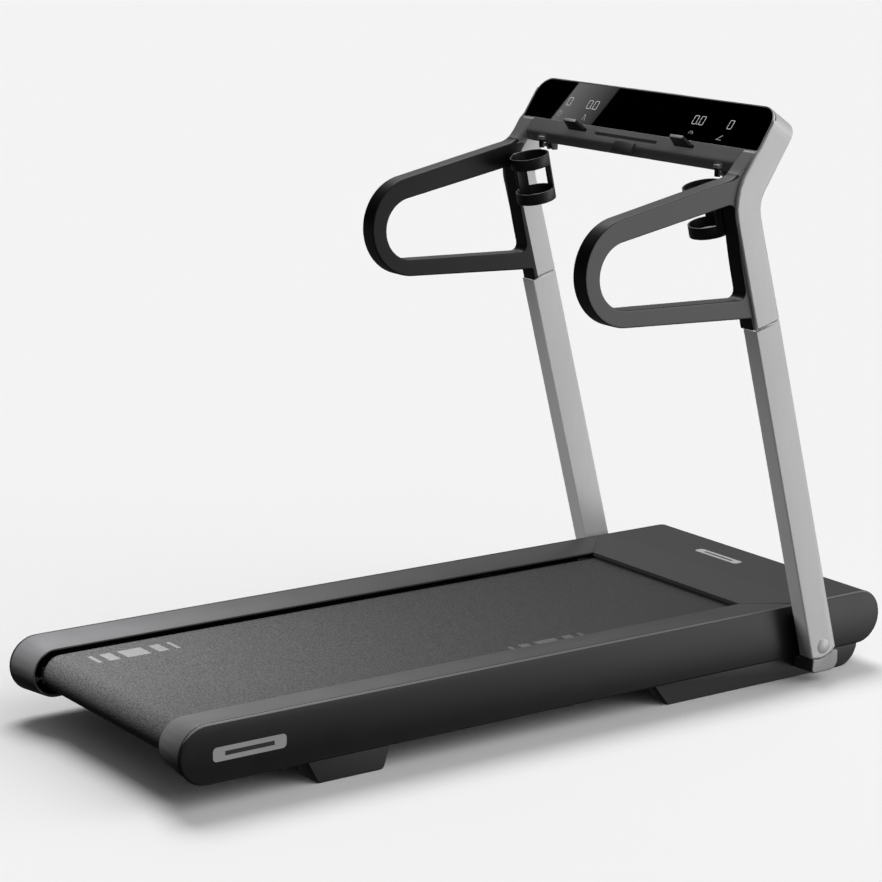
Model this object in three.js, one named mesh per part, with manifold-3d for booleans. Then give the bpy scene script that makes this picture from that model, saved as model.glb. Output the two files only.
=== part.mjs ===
// Home treadmill: a slim deck, two leaning uprights with loop handles, and a glass console.
// Millimetres. +X is the runner's right, +Y is the motor end, +Z is up.
// The origin is on the floor under the middle of the deck.
import * as THREE from 'three';
import { mergeVertices } from 'three/addons/utils/BufferGeometryUtils.js';
import Module from 'manifold-3d';

const wasm = await Module();
wasm.setup();

// ---------------------------------------------------------------- driving dimensions
const GAP = 0.4;                        // clearance between pieces that touch

const DECK_LENGTH = 1765;
const DECK_THICKNESS = 118;
const DECK_CENTRE_Z = 107.3;
const NOSE_RADIUS = DECK_THICKNESS / 2;
const NOSE_Y = DECK_LENGTH / 2 - NOSE_RADIUS;
const PANEL_OUTER_X = 342;
const PANEL_INNER_X = 337.4;
const PANEL_CHAMFER = 3;

const RAIL_OUTER_X = 337;
const RAIL_INNER_X = 251;
const RAIL_OUTER_RADIUS = 58.7;
const RAIL_INNER_RADIUS = 50.5;
const RAIL_WALL = 4;
const RAIL_RETURN_Y = -700;             // the underside lip of each foot rail ends here

const OPENING_FRONT_Y = 553;            // front edge of the belt opening
const DISH_FRONT_Y = 680;               // where the dished part of the hood ends
const HOOD_WALL = 3.5;
const HOOD_LIP = 8;

const BELT_HALF_WIDTH = 246;
const ROLLER_Z = 107;
const ROLLER_RADIUS = 35.2;
const BELT_INNER_RADIUS = 35.5;
const BELT_THICKNESS = 2.5;
const REAR_ROLLER_Y = -815;
const FRONT_ROLLER_Y = 585;

const FRAME_INNER_X = 253;
const FRAME_OUTER_X = 277;
const FRAME_BOTTOM_Z = 62;
const FRAME_TOP_Z = 111.6;
const FRAME_REAR_Y = -780;
const FRAME_FRONT_Y = 540;

const MOTOR_Y = 735;
const MOTOR_Z = 104;
const MOTOR_RADIUS = 44;
const ROLLER_PULLEY_RADIUS = 30;
const MOTOR_PULLEY_RADIUS = 15;
const PULLEY_X = [281, 299];

const LIFT_HINGE = { y: 300, z: 36 };
const LIFT_ARM_X = [297, 333.5];
const LIFT_WHEEL = { y: 762, z: 24, radius: 22 };
const HORN_TOP_Z = 112;
const ACTUATOR_ANCHOR = { y: 30, z: 104 };
const ACTUATOR_X = -308;

const UPRIGHT_LEAN = THREE.MathUtils.degToRad(15.7);
const UPRIGHT_X = [352.5, 392.5];
const UPRIGHT_DEPTH = 68;
const UPRIGHT_WALL = 3;
const SEAM = { y: 439.7, z: 784 };              // rear end of the joint between tube and head
const FOOT_ARC = { y: 660, z: 114, radius: 61.6 };
const PIVOT_CAP = { y: 670, z: 80, radius: 16.6 };
const SHOE_BOTTOM_Z = 22;

const GLASS_TILT = THREE.MathUtils.degToRad(33);  // the glass leans forward from vertical
const GLASS_FOOT = { y: 430.5, z: 1151 };         // bottom edge of the glass surface
const GLASS_HEIGHT = 96;
const GLASS_HALF_WIDTH = 384.6;
const CONSOLE_TOP = 99;
const HEAD_DEPTH = 62;                            // head casting, measured square to the glass
const HEAD_CORNER = 45;
const KNEE_RADIUS = 125;                          // bend of the head casting, on its rear side

const HANDLE_X = [345, 385.6];
const HANDLE_OUTER = { y: 109, z: 930, radius: 109 };
const HANDLE_INNER = { y: 105, z: 925, radius: 68 };
const HANDLE_LEG = 14.6;                          // depth of the leg let into the upright

const CUP_CENTRE = { x: 289.8, y: 374.3, z: 1075.4 };
const CUP_RADIUS = 43.4;
const CUP_LEAN = THREE.MathUtils.degToRad(13.4);
const CUP_RING_HEIGHT = 25;
const CUP_RING_SPACING = 78.3;
const LEVER_X = 291.5;
const LEVER_PIVOT = { y: 440, z: 1091 };

// ---------------------------------------------------------------- finishes
const FINISHES = {
  charcoal: { color: 0x2c2d2f, roughness: 0.5, metalness: 0.2 },
  rail: { color: 0x4b4d50, roughness: 0.45, metalness: 0.3 },
  silver: { color: 0xb9babc, roughness: 0.35, metalness: 0.8 },
  moulding: { color: 0x47494b, roughness: 0.6, metalness: 0.0 },
  black: { color: 0x101112, roughness: 0.55, metalness: 0.0 },
  glass: { color: 0x050506, roughness: 0.08, metalness: 0.0 },
  belt: { color: 0x3a3b3c, roughness: 0.9, metalness: 0.0 },
  board: { color: 0x8a6b48, roughness: 0.8, metalness: 0.0 },
  steel: { color: 0x9c9ea0, roughness: 0.3, metalness: 1.0 },
  frame: { color: 0x1c1d1f, roughness: 0.6, metalness: 0.4 },
  rubber: { color: 0x161616, roughness: 0.95, metalness: 0.0 },
  copper: { color: 0x30463a, roughness: 0.6, metalness: 0.1 },
};

// ---------------------------------------------------------------- geometry helpers
const X_AXIS = new THREE.Vector3(1, 0, 0);
const SIDE_FRAME = new THREE.Matrix4().makeBasis(
  new THREE.Vector3(0, 1, 0), new THREE.Vector3(0, 0, 1), new THREE.Vector3(1, 0, 0));
const FRONT_FRAME = new THREE.Matrix4().makeBasis(
  new THREE.Vector3(1, 0, 0), new THREE.Vector3(0, 0, 1), new THREE.Vector3(0, -1, 0));

const glassUp = new THREE.Vector3(0, Math.sin(GLASS_TILT), Math.cos(GLASS_TILT));
const glassOut = new THREE.Vector3(0, -Math.cos(GLASS_TILT), Math.sin(GLASS_TILT));
const CONSOLE_FRAME = new THREE.Matrix4()
  .makeBasis(X_AXIS, glassUp, glassOut)
  .setPosition(0, GLASS_FOOT.y, GLASS_FOOT.z);

// Point of the YZ plane at a height along the glass and a distance in front of it.
function onConsole(up, out) {
  return [
    GLASS_FOOT.y + up * glassUp.y + out * glassOut.y,
    GLASS_FOOT.z + up * glassUp.z + out * glassOut.z,
  ];
}

function arc(centreA, centreB, radius, startDegrees, endDegrees, steps, endRadius = radius) {
  const points = [];
  for (let k = 0; k <= steps; k += 1) {
    const share = k / steps;
    const angle = THREE.MathUtils.degToRad(startDegrees + (endDegrees - startDegrees) * share);
    const reach = radius + (endRadius - radius) * share;
    points.push([centreA + reach * Math.cos(angle), centreB + reach * Math.sin(angle)]);
  }
  return points;
}

// Outline with some of its corners rounded: each point is [a, b] or [a, b, radius].
function rounded(points, steps = 4) {
  const outline = [];
  points.forEach(([a, b, radius = 0], index) => {
    if (radius === 0) {
      outline.push([a, b]);
      return;
    }
    const corner = new THREE.Vector2(a, b);
    const before = new THREE.Vector2(...points.at(index - 1).slice(0, 2)).sub(corner).normalize();
    const after = new THREE.Vector2(...points[(index + 1) % points.length].slice(0, 2))
      .sub(corner).normalize();
    const half = Math.acos(THREE.MathUtils.clamp(before.dot(after), -1, 1)) / 2;
    const reach = radius / Math.tan(half);
    const centre = before.clone().add(after).normalize()
      .multiplyScalar(radius / Math.sin(half)).add(corner);
    const first = before.multiplyScalar(reach).add(corner).sub(centre);
    const last = after.multiplyScalar(reach).add(corner).sub(centre);
    const start = first.angle();
    let sweep = last.angle() - start;
    if (sweep > Math.PI) sweep -= 2 * Math.PI;
    if (sweep < -Math.PI) sweep += 2 * Math.PI;
    for (let k = 0; k <= steps; k += 1) {
      const angle = start + (sweep * k) / steps;
      outline.push([centre.x + radius * Math.cos(angle), centre.y + radius * Math.sin(angle)]);
    }
  });
  return outline;
}

function shapeOf(points, holes = []) {
  const shape = new THREE.Shape(points.map(([a, b]) => new THREE.Vector2(a, b)));
  shape.holes = holes.map((hole) => new THREE.Path(hole.map(([a, b]) => new THREE.Vector2(a, b))));
  return shape;
}

function extrude(shape, depth, bevel = 0, bevelSegments = 1) {
  return new THREE.ExtrudeGeometry(shape, {
    depth: depth - 2 * bevel,
    bevelEnabled: bevel > 0,
    bevelThickness: bevel,
    bevelSize: bevel,
    bevelOffset: -bevel,
    bevelSegments,
    curveSegments: 12,
  }).translate(0, 0, bevel);
}

// An outline in (Y, Z), extruded along X.
function alongX(points, [x0, x1], { bevel = 0, bevelSegments = 1, holes = [] } = {}) {
  return extrude(shapeOf(points, holes), x1 - x0, bevel, bevelSegments)
    .translate(0, 0, x0)
    .applyMatrix4(SIDE_FRAME);
}

// An outline in (X, Z), extruded along Y.
function alongY(points, [y0, y1], bevel = 0) {
  return extrude(shapeOf(points), y1 - y0, bevel)
    .applyMatrix4(FRONT_FRAME)
    .translate(0, y1, 0);
}

function box([x0, x1], [y0, y1], [z0, z1]) {
  return new THREE.BoxGeometry(x1 - x0, y1 - y0, z1 - z0)
    .translate((x0 + x1) / 2, (y0 + y1) / 2, (z0 + z1) / 2);
}

function rodX(radius, [x0, x1], y, z, segments = 32) {
  return new THREE.CylinderGeometry(radius, radius, x1 - x0, segments)
    .rotateZ(-Math.PI / 2)
    .translate((x0 + x1) / 2, y, z);
}

function rodY(radius, [y0, y1], x, z, segments = 24) {
  return new THREE.CylinderGeometry(radius, radius, y1 - y0, segments)
    .translate(x, (y0 + y1) / 2, z);
}

// A turned piece on an X axis: each profile point is [radius, x].
function turnedX(profile, y, z, segments = 32) {
  return new THREE.LatheGeometry(profile.map(([r, x]) => new THREE.Vector2(r, x)), segments)
    .rotateZ(-Math.PI / 2)
    .translate(0, y, z);
}

function closedRing(inner, outer, [a0, a1]) {
  return [[inner, a0], [outer, a0], [outer, a1], [inner, a1], [inner, a0]];
}

// A closed body through outlines with equal point counts; each point is [x, y, z].
function loft(sections) {
  const count = sections[0].length;
  const index = [];
  for (let s = 0; s < sections.length - 1; s += 1) {
    for (let i = 0; i < count; i += 1) {
      const a = s * count + i;
      const b = s * count + ((i + 1) % count);
      index.push(a, b, b + count, a, b + count, a + count);
    }
  }
  const lastStart = (sections.length - 1) * count;
  const cap = (section) => THREE.ShapeUtils.triangulateShape(
    section.map(([, y, z]) => new THREE.Vector2(y, z)), []);
  cap(sections[0]).forEach(([a, b, c]) => index.push(a, c, b));
  cap(sections.at(-1)).forEach(([a, b, c]) => index.push(lastStart + a, lastStart + b, lastStart + c));
  const geometry = new THREE.BufferGeometry();
  geometry.setAttribute('position', new THREE.Float32BufferAttribute(sections.flat(2), 3));
  geometry.setIndex(index);
  return geometry;
}

// A closed sheet between two grids of points, indexed [row][column].
function shell(outer, inner) {
  const rows = outer.length;
  const columns = outer[0].length;
  const size = rows * columns;
  const index = [];
  const quad = (a, b, c, d) => index.push(a, b, c, a, c, d);
  for (let r = 0; r < rows - 1; r += 1) {
    for (let c = 0; c < columns - 1; c += 1) {
      const a = r * columns + c;
      quad(a, a + 1, a + columns + 1, a + columns);
      quad(size + a, size + a + columns, size + a + columns + 1, size + a + 1);
    }
  }
  const border = [];
  for (let c = 0; c < columns; c += 1) border.push(c);
  for (let r = 1; r < rows; r += 1) border.push(r * columns + columns - 1);
  for (let c = columns - 2; c >= 0; c -= 1) border.push((rows - 1) * columns + c);
  for (let r = rows - 2; r > 0; r -= 1) border.push(r * columns);
  border.forEach((a, k) => {
    const b = border[(k + 1) % border.length];
    quad(a, size + a, size + b, b);
  });
  const geometry = new THREE.BufferGeometry();
  geometry.setAttribute('position', new THREE.Float32BufferAttribute([outer, inner].flat(3), 3));
  geometry.setIndex(index);
  return geometry;
}

// Position-only copy with shared vertices and no collapsed triangles.
function welded(geometry) {
  const bare = geometry.clone();
  bare.deleteAttribute('normal');
  bare.deleteAttribute('uv');
  const merged = mergeVertices(bare, 1e-4);
  const kept = [];
  const { array } = merged.index;
  for (let k = 0; k < array.length; k += 3) {
    const [a, b, c] = [array[k], array[k + 1], array[k + 2]];
    if (a !== b && b !== c && c !== a) kept.push(a, b, c);
  }
  merged.setIndex(kept);
  return merged;
}

function flipped(geometry) {
  const { array } = geometry.index;
  for (let k = 0; k < array.length; k += 3) {
    [array[k + 1], array[k + 2]] = [array[k + 2], array[k + 1]];
  }
  return geometry;
}

function signedVolume(geometry) {
  const [a, b, c] = [new THREE.Vector3(), new THREE.Vector3(), new THREE.Vector3()];
  const { position } = geometry.attributes;
  const { array } = geometry.index;
  let total = 0;
  for (let k = 0; k < array.length; k += 3) {
    a.fromBufferAttribute(position, array[k]);
    b.fromBufferAttribute(position, array[k + 1]);
    c.fromBufferAttribute(position, array[k + 2]);
    total += a.dot(b.cross(c));
  }
  return total / 6;
}

// Welded copy whose faces point outwards.
function closed(geometry) {
  const body = welded(geometry);
  return signedVolume(body) < 0 ? flipped(body) : body;
}

function mirrored(geometry) {
  return closed(geometry.clone().scale(-1, 1, 1));
}

function solidOf(geometry) {
  const body = closed(geometry);
  return new wasm.Manifold(new wasm.Mesh({
    numProp: 3,
    vertProperties: new Float32Array(body.attributes.position.array),
    triVerts: new Uint32Array(body.index.array),
  }));
}

function geometryOf(solid) {
  const { vertProperties, triVerts } = solid.getMesh();
  const geometry = new THREE.BufferGeometry();
  geometry.setAttribute('position', new THREE.BufferAttribute(new Float32Array(vertProperties), 3));
  geometry.setIndex(new THREE.BufferAttribute(new Uint32Array(triVerts), 1));
  return geometry;
}

function join(first, ...others) {
  return geometryOf(others.reduce((body, next) => body.add(solidOf(next)), solidOf(first)));
}

function cut(first, ...tools) {
  return geometryOf(tools.reduce((body, next) => body.subtract(solidOf(next)), solidOf(first)));
}

function common(first, second) {
  return geometryOf(solidOf(first).intersect(solidOf(second)));
}

// ---------------------------------------------------------------- assembly
const treadmill = new THREE.Group();

function add(name, geometry, finish) {
  const body = closed(geometry);
  body.computeVertexNormals();
  const mesh = new THREE.Mesh(body, new THREE.MeshStandardMaterial(FINISHES[finish]));
  mesh.name = name;
  treadmill.add(mesh);
}

// The geometry is the right-hand piece; the left-hand one is its mirror image.
function addPair(name, geometry, finish) {
  add(`${name}_right`, geometry, finish);
  add(`${name}_left`, mirrored(geometry), finish);
}

// ---------------------------------------------------------------- deck covers
function stadium(radius, x, steps = 20) {
  return [
    ...arc(NOSE_Y, DECK_CENTRE_Z, radius, -90, 90, steps),
    ...arc(-NOSE_Y, DECK_CENTRE_Z, radius, 90, 270, steps),
  ].map(([y, z]) => [x, y, z]);
}

function sidePanel() {
  return loft([
    stadium(NOSE_RADIUS, PANEL_INNER_X),
    stadium(NOSE_RADIUS, PANEL_OUTER_X - PANEL_CHAMFER),
    stadium(NOSE_RADIUS - PANEL_CHAMFER, PANEL_OUTER_X),
  ]);
}

// The rail and the hood meet in a mitre that runs from the opening's corner to the outer edge.
function mitreY(x) {
  return OPENING_FRONT_Y + Math.max(0, Math.abs(x) - RAIL_INNER_X);
}

function footRailSection(x, radius) {
  const frontY = mitreY(x) - GAP;
  const outer = [
    [frontY, DECK_CENTRE_Z + radius],
    ...arc(-NOSE_Y, DECK_CENTRE_Z, radius, 90, 270, 18),
    [RAIL_RETURN_Y, DECK_CENTRE_Z - radius],
  ];
  const inner = [
    [frontY, DECK_CENTRE_Z + radius - RAIL_WALL],
    ...arc(-NOSE_Y, DECK_CENTRE_Z, radius - RAIL_WALL, 90, 270, 18),
    [RAIL_RETURN_Y, DECK_CENTRE_Z - radius + RAIL_WALL],
  ];
  return [...outer, ...inner.reverse()].map(([y, z]) => [x, y, z]);
}

function footRail() {
  return loft([
    footRailSection(RAIL_INNER_X, RAIL_INNER_RADIUS),
    footRailSection(RAIL_OUTER_X, RAIL_OUTER_RADIUS),
  ]);
}

// How far the hood's top lies below its full height: the dish that leads down to the belt.
const DISH_DEPTH = RAIL_OUTER_RADIUS - RAIL_INNER_RADIUS;
const DISH_WIDTH = RAIL_OUTER_X - RAIL_INNER_X;
const DISH_CORNER = 60;
function dishDrop(x, y) {
  const fromSide = RAIL_OUTER_X - Math.abs(x);
  const fromFront = (DISH_FRONT_Y - y) * DISH_WIDTH / (DISH_FRONT_Y - OPENING_FRONT_Y);
  let inside = Math.min(fromSide, fromFront);
  if (fromSide < DISH_CORNER && fromFront < DISH_CORNER) {
    inside = DISH_CORNER - Math.hypot(DISH_CORNER - fromSide, DISH_CORNER - fromFront);
  }
  return DISH_DEPTH * THREE.MathUtils.clamp(inside / DISH_WIDTH, 0, 1);
}

function motorHood() {
  const columns = [-337, -320, -300, -280, -251, -200, 0, 200, 251, 280, 300, 320, 337];
  const topRows = 7;
  const outer = [];
  const inner = [];
  for (let row = 0; row <= topRows; row += 1) {
    const share = row / topRows;
    const wall = row === 0 ? HOOD_LIP : HOOD_WALL;
    const lineOuter = [];
    const lineInner = [];
    columns.forEach((x) => {
      const startY = mitreY(x);
      const y = startY + (DISH_FRONT_Y - startY) * share;
      const z = DECK_CENTRE_Z + RAIL_OUTER_RADIUS - dishDrop(x, y);
      lineOuter.push([x, y, z]);
      lineInner.push([x, y, z - wall]);
    });
    outer.push(lineOuter);
    inner.push(lineInner);
  }
  for (const [k, angle] of arc(0, 0, 1, 90, -90, 16).entries()) {
    const [across, up] = angle;
    const nose = (radius) => columns.map((x) => [
      x, NOSE_Y + radius * (k === 0 ? 0 : across), DECK_CENTRE_Z + radius * up]);
    outer.push(nose(RAIL_OUTER_RADIUS));
    inner.push(nose(RAIL_OUTER_RADIUS - HOOD_WALL));
  }
  return shell(outer, inner);
}

const POWER_PANEL = { x: [-250, -130], y: [848, 875.6], z: [82, 118] };
const widened = ([low, high]) => [low - GAP, high + GAP];
const hood = cut(motorHood(), box(widened(POWER_PANEL.x), [840, 900], widened(POWER_PANEL.z)));

addPair('side_panel', sidePanel(), 'charcoal');
addPair('foot_rail', footRail(), 'rail');
add('motor_hood', hood, 'charcoal');
add('belly_pan', box([-252, 252], [560, NOSE_Y - GAP], [48.8, 51.6]), 'black');

// ---------------------------------------------------------------- deck frame
const BOLT = { x: 260.5, z: 97, radius: 3 };

// Side member: a channel with an end plate for the rollers and motor, and a hinge bearing.
function frameRail() {
  const wall = 3;
  const channel = [
    [FRAME_INNER_X, FRAME_BOTTOM_Z],
    [FRAME_OUTER_X, FRAME_BOTTOM_Z],
    [FRAME_OUTER_X, FRAME_BOTTOM_Z + wall],
    [FRAME_INNER_X + wall, FRAME_BOTTOM_Z + wall],
    [FRAME_INNER_X + wall, FRAME_TOP_Z - wall],
    [FRAME_OUTER_X, FRAME_TOP_Z - wall],
    [FRAME_OUTER_X, FRAME_TOP_Z],
    [FRAME_INNER_X, FRAME_TOP_Z],
  ];
  const frontPlate = box([255, 263], [512, 845], [62, 146]);
  const axleBlock = box([255, 266], [-850, FRAME_REAR_Y + 5], [88, 120]);
  const bearing = box([262, 276], [LIFT_HINGE.y - 20, LIFT_HINGE.y + 20], [20, FRAME_BOTTOM_Z + 2]);
  return cut(
    join(alongY(channel, [FRAME_REAR_Y, FRAME_FRONT_Y]), frontPlate, axleBlock, bearing),
    rodX(10.5, [245, 270], FRONT_ROLLER_Y, ROLLER_Z),
    rodX(8.5, [245, 270], MOTOR_Y, MOTOR_Z),
    rodX(8, [245, 270], REAR_ROLLER_Y, ROLLER_Z),
    rodX(12.5, [258, 290], LIFT_HINGE.y, LIFT_HINGE.z),
    rodY(BOLT.radius + GAP, [-860, -831], BOLT.x, BOLT.z, 16),
  );
}

function crossMember(y) {
  const reach = FRAME_INNER_X - GAP;
  const tube = box([-reach, reach], [y - 20, y + 20], [78, 118]);
  return cut(tube, box([-reach - 1, reach + 1], [y - 17, y + 17], [81, 115]));
}

// The left member also carries the bracket and pin that the lift actuator hangs from.
const actuatorBracket = join(
  box([-283.5, -FRAME_OUTER_X + 1], [-5, 60], [68, 111.6]),
  box([-FRAME_OUTER_X - 6.5, -FRAME_INNER_X - 1], [-5, 60], [106, 111.6]),
  rodX(5, [-330, -280], ACTUATOR_ANCHOR.y, ACTUATOR_ANCHOR.z, 24));

add('frame_rail_right', frameRail(), 'frame');
add('frame_rail_left', join(mirrored(frameRail()), actuatorBracket), 'frame');
add('cross_member_rear', crossMember(-600), 'frame');
add('cross_member_middle', crossMember(-50), 'frame');
add('cross_member_front', crossMember(450), 'frame');

// ---------------------------------------------------------------- running surface
function beltLoop(radius) {
  return [
    ...arc(FRONT_ROLLER_Y, ROLLER_Z, radius, -90, 90, 20),
    ...arc(REAR_ROLLER_Y, ROLLER_Z, radius, 90, 270, 20),
  ];
}

const beltWidth = [-BELT_HALF_WIDTH, BELT_HALF_WIDTH];
const runningBelt = alongX(
  beltLoop(BELT_INNER_RADIUS + BELT_THICKNESS), beltWidth, { holes: [beltLoop(BELT_INNER_RADIUS)] });

add('running_belt', runningBelt, 'belt');
add('running_board', box([-266, 266], [-770, 511], [122.4, 141.9]), 'board');
addPair('board_cushion', box([255, 273], [-740, 480], [112, 122]), 'rubber');

// ---------------------------------------------------------------- rollers and drive
const rearRoller = turnedX(
  closedRing(8, ROLLER_RADIUS, [-250, 250]), REAR_ROLLER_Y, ROLLER_Z);
const frontRoller = turnedX([
  [0, -268], [9.5, -268], [9.5, -250], [ROLLER_RADIUS, -250], [ROLLER_RADIUS, 250],
  [9.5, 250], [9.5, PULLEY_X[0]], [ROLLER_PULLEY_RADIUS, PULLEY_X[0]],
  [ROLLER_PULLEY_RADIUS, PULLEY_X[1]], [9.5, PULLEY_X[1]], [9.5, 302], [0, 302],
], FRONT_ROLLER_Y, ROLLER_Z);

const motorHousing = turnedX(closedRing(8.5, MOTOR_RADIUS, [-155, 95]), MOTOR_Y, MOTOR_Z);
const motorRotor = turnedX([
  [0, -200], [8, -200], [8, -195], [40, -195], [40, -165], [8, -165], [8, PULLEY_X[0]],
  [MOTOR_PULLEY_RADIUS, PULLEY_X[0]], [MOTOR_PULLEY_RADIUS, PULLEY_X[1]], [8, PULLEY_X[1]],
  [8, 303], [0, 303],
], MOTOR_Y, MOTOR_Z);
const motorCradle = cut(
  box([-130, 70], [696, 774], [52, 84]),
  rodX(MOTOR_RADIUS + GAP, [-140, 80], MOTOR_Y, MOTOR_Z, 48));

// Outline of a belt around both pulleys, at a clearance above their rims.
function driveBeltLoop(clearance) {
  const span = MOTOR_Y - FRONT_ROLLER_Y;
  const drop = MOTOR_Z - ROLLER_Z;
  const heading = THREE.MathUtils.radToDeg(Math.atan2(drop, span));
  const tangent = THREE.MathUtils.radToDeg(
    Math.acos((ROLLER_PULLEY_RADIUS - MOTOR_PULLEY_RADIUS) / Math.hypot(span, drop)));
  return [
    ...arc(FRONT_ROLLER_Y, ROLLER_Z, ROLLER_PULLEY_RADIUS + clearance,
      heading + tangent, heading + 360 - tangent, 16),
    ...arc(MOTOR_Y, MOTOR_Z, MOTOR_PULLEY_RADIUS + clearance,
      heading - tangent, heading + tangent, 12),
  ];
}

const driveBelt = alongX(driveBeltLoop(3.5), [282, 298], { holes: [driveBeltLoop(0.5)] });

add('rear_roller', rearRoller, 'steel');
add('rear_roller_axle', rodX(7.6, [-265.6, 265.6], REAR_ROLLER_Y, ROLLER_Z), 'steel');
addPair('tension_bolt', join(
  rodY(BOLT.radius, [-862, -832], BOLT.x, BOLT.z, 16),
  rodY(6.5, [-866, -860], BOLT.x, BOLT.z, 6)), 'steel');
add('front_roller', frontRoller, 'steel');
add('drive_motor', motorHousing, 'frame');
add('motor_rotor', motorRotor, 'steel');
add('motor_cradle', motorCradle, 'frame');
add('drive_belt', driveBelt, 'rubber');
add('control_board', box([-100, 120], [795, 845], [62, 138]), 'copper');

// ---------------------------------------------------------------- mains inlet and switch
const INLET = { x: [-240, -205], z: [89, 111] };
const SWITCH_PIVOT = { y: 868, z: 100 };
const SWITCH_BAY = { x: [-190, -166], z: [87.5, 112.5] };
const powerPanel = cut(
  box(POWER_PANEL.x, POWER_PANEL.y, POWER_PANEL.z),
  box(INLET.x, [861, 880], INLET.z),
  box(SWITCH_BAY.x, [861, 880], SWITCH_BAY.z));
const rockerProfile = [[866, 91], [877, 91], [873.2, 100], [872.6, 109], [866, 109]];

add('power_panel', powerPanel, 'black');
add('power_switch', alongX(
  rockerProfile, [SWITCH_BAY.x[0] + 1, SWITCH_BAY.x[1] - 1], { bevel: 0.8 }), 'black');

// ---------------------------------------------------------------- rear feet
const FOOT_X = [270, 333.5];
const rearFootProfile = rounded([
  [-603, 61.6], [-600, 48], [-575, 0, 4], [-425, 0, 10], [-410, 48], [-407, 61.6]]);
addPair('rear_foot', alongX(rearFootProfile, FOOT_X, { bevel: 1.5 }), 'black');

// ---------------------------------------------------------------- lift frame and actuator
const liftArmProfile = [
  [252, 47.6], [290, 0], ...arc(776, 52, 52, -90, -4.9, 8)];
const liftArm = join(
  alongX(liftArmProfile, LIFT_ARM_X, { bevel: 1.2 }),
  rodX(5, [266, 300], LIFT_WHEEL.y, LIFT_WHEEL.z, 24));
const liftWheel = turnedX(
  closedRing(5.5, LIFT_WHEEL.radius, [268, 290]), LIFT_WHEEL.y, LIFT_WHEEL.z);
const tubeReach = LIFT_ARM_X[0] - GAP;
const liftTube = rodX(12, [-tubeReach, tubeReach], LIFT_HINGE.y, LIFT_HINGE.z);
const hornPlate = alongX([
  [286, 40], [322, 40], ...arc(LIFT_HINGE.y, HORN_TOP_Z, 12, 0, 180, 10)],
[ACTUATOR_X - 4, ACTUATOR_X + 4]);
const hornPin = rodX(5, [ACTUATOR_X - 14, ACTUATOR_X + 14], LIFT_HINGE.y, HORN_TOP_Z, 24);

const actuatorReach = Math.hypot(LIFT_HINGE.y - ACTUATOR_ANCHOR.y, HORN_TOP_Z - ACTUATOR_ANCHOR.z);
const actuatorPitch = Math.atan2(
  HORN_TOP_Z - ACTUATOR_ANCHOR.z, LIFT_HINGE.y - ACTUATOR_ANCHOR.y);

// Pieces drawn with the actuator's anchor pin at the origin and its stroke along Y.
function placedActuator(geometry) {
  return geometry.rotateX(actuatorPitch).translate(ACTUATOR_X, ACTUATOR_ANCHOR.y, ACTUATOR_ANCHOR.z);
}

function actuatorBody() {
  const tube = new THREE.LatheGeometry([
    [0, 16], [21, 16], [21, 190], [7.6, 190], [7.6, 110], [0, 110],
  ].map(([r, y]) => new THREE.Vector2(r, y)), 32);
  const eye = cut(box([-8, 8], [-12, 22], [-12, 12]), rodX(5.4, [-20, 20], 0, 0, 24));
  return placedActuator(join(tube, eye));
}

function actuatorScrew() {
  const fork = cut(
    box([-14, 14], [actuatorReach - 36, actuatorReach + 14], [-13, 13]),
    box([-5.2, 5.2], [actuatorReach - 21, actuatorReach + 20], [-20, 20]),
    rodX(6.6, [-20, 20], actuatorReach, 0, 24));
  return placedActuator(join(fork, rodY(7, [120, actuatorReach - 34], 0, 0)));
}

add('lift_arm_right', liftArm, 'charcoal');
add('lift_arm_left', join(mirrored(liftArm), hornPlate, hornPin), 'charcoal');
addPair('lift_wheel', liftWheel, 'rubber');
add('lift_tube', liftTube, 'frame');
add('lift_actuator', actuatorBody(), 'frame');
add('lift_screw', actuatorScrew(), 'steel');

// ---------------------------------------------------------------- uprights
const leanUp = [-Math.sin(UPRIGHT_LEAN), Math.cos(UPRIGHT_LEAN)];
const leanForward = [Math.cos(UPRIGHT_LEAN), Math.sin(UPRIGHT_LEAN)];

// Point of the YZ plane at a distance up the tube from the seam and forward of its rear line.
function onTube(up, forward) {
  return [
    SEAM.y + up * leanUp[0] + forward * leanForward[0],
    SEAM.z + up * leanUp[1] + forward * leanForward[1],
  ];
}

function uprightTube() {
  const footArc = arc(FOOT_ARC.y, FOOT_ARC.z, FOOT_ARC.radius, -110, -41, 12);
  const outline = [...footArc, onTube(0, UPRIGHT_DEPTH), onTube(0, 0)];
  const outside = alongX(outline, UPRIGHT_X, { bevel: 4, bevelSegments: 2 });
  const bore = [
    onTube(-680, UPRIGHT_WALL), onTube(-680, UPRIGHT_DEPTH - UPRIGHT_WALL),
    onTube(10, UPRIGHT_DEPTH - UPRIGHT_WALL), onTube(10, UPRIGHT_WALL)];
  return cut(
    outside,
    alongX(bore, [UPRIGHT_X[0] + UPRIGHT_WALL, UPRIGHT_X[1] - UPRIGHT_WALL]),
    rodX(PIVOT_CAP.radius + GAP, [UPRIGHT_X[1] - 2, UPRIGHT_X[1] + 5], PIVOT_CAP.y, PIVOT_CAP.z),
    rodX(8 + GAP, [UPRIGHT_X[0] - 5, UPRIGHT_X[1]], PIVOT_CAP.y, PIVOT_CAP.z, 24));
}

// The bolt that holds an upright: spacer against the deck, shank and outer cap in one.
function footBolt() {
  const { y, z } = PIVOT_CAP;
  return join(
    rodX(20, [PANEL_OUTER_X + GAP, UPRIGHT_X[0] - GAP], y, z),
    rodX(8, [PANEL_OUTER_X + 2, UPRIGHT_X[1] - 1], y, z, 24),
    rodX(PIVOT_CAP.radius, [UPRIGHT_X[1] - 1.6, UPRIGHT_X[1] + 0.2], y, z));
}

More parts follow.
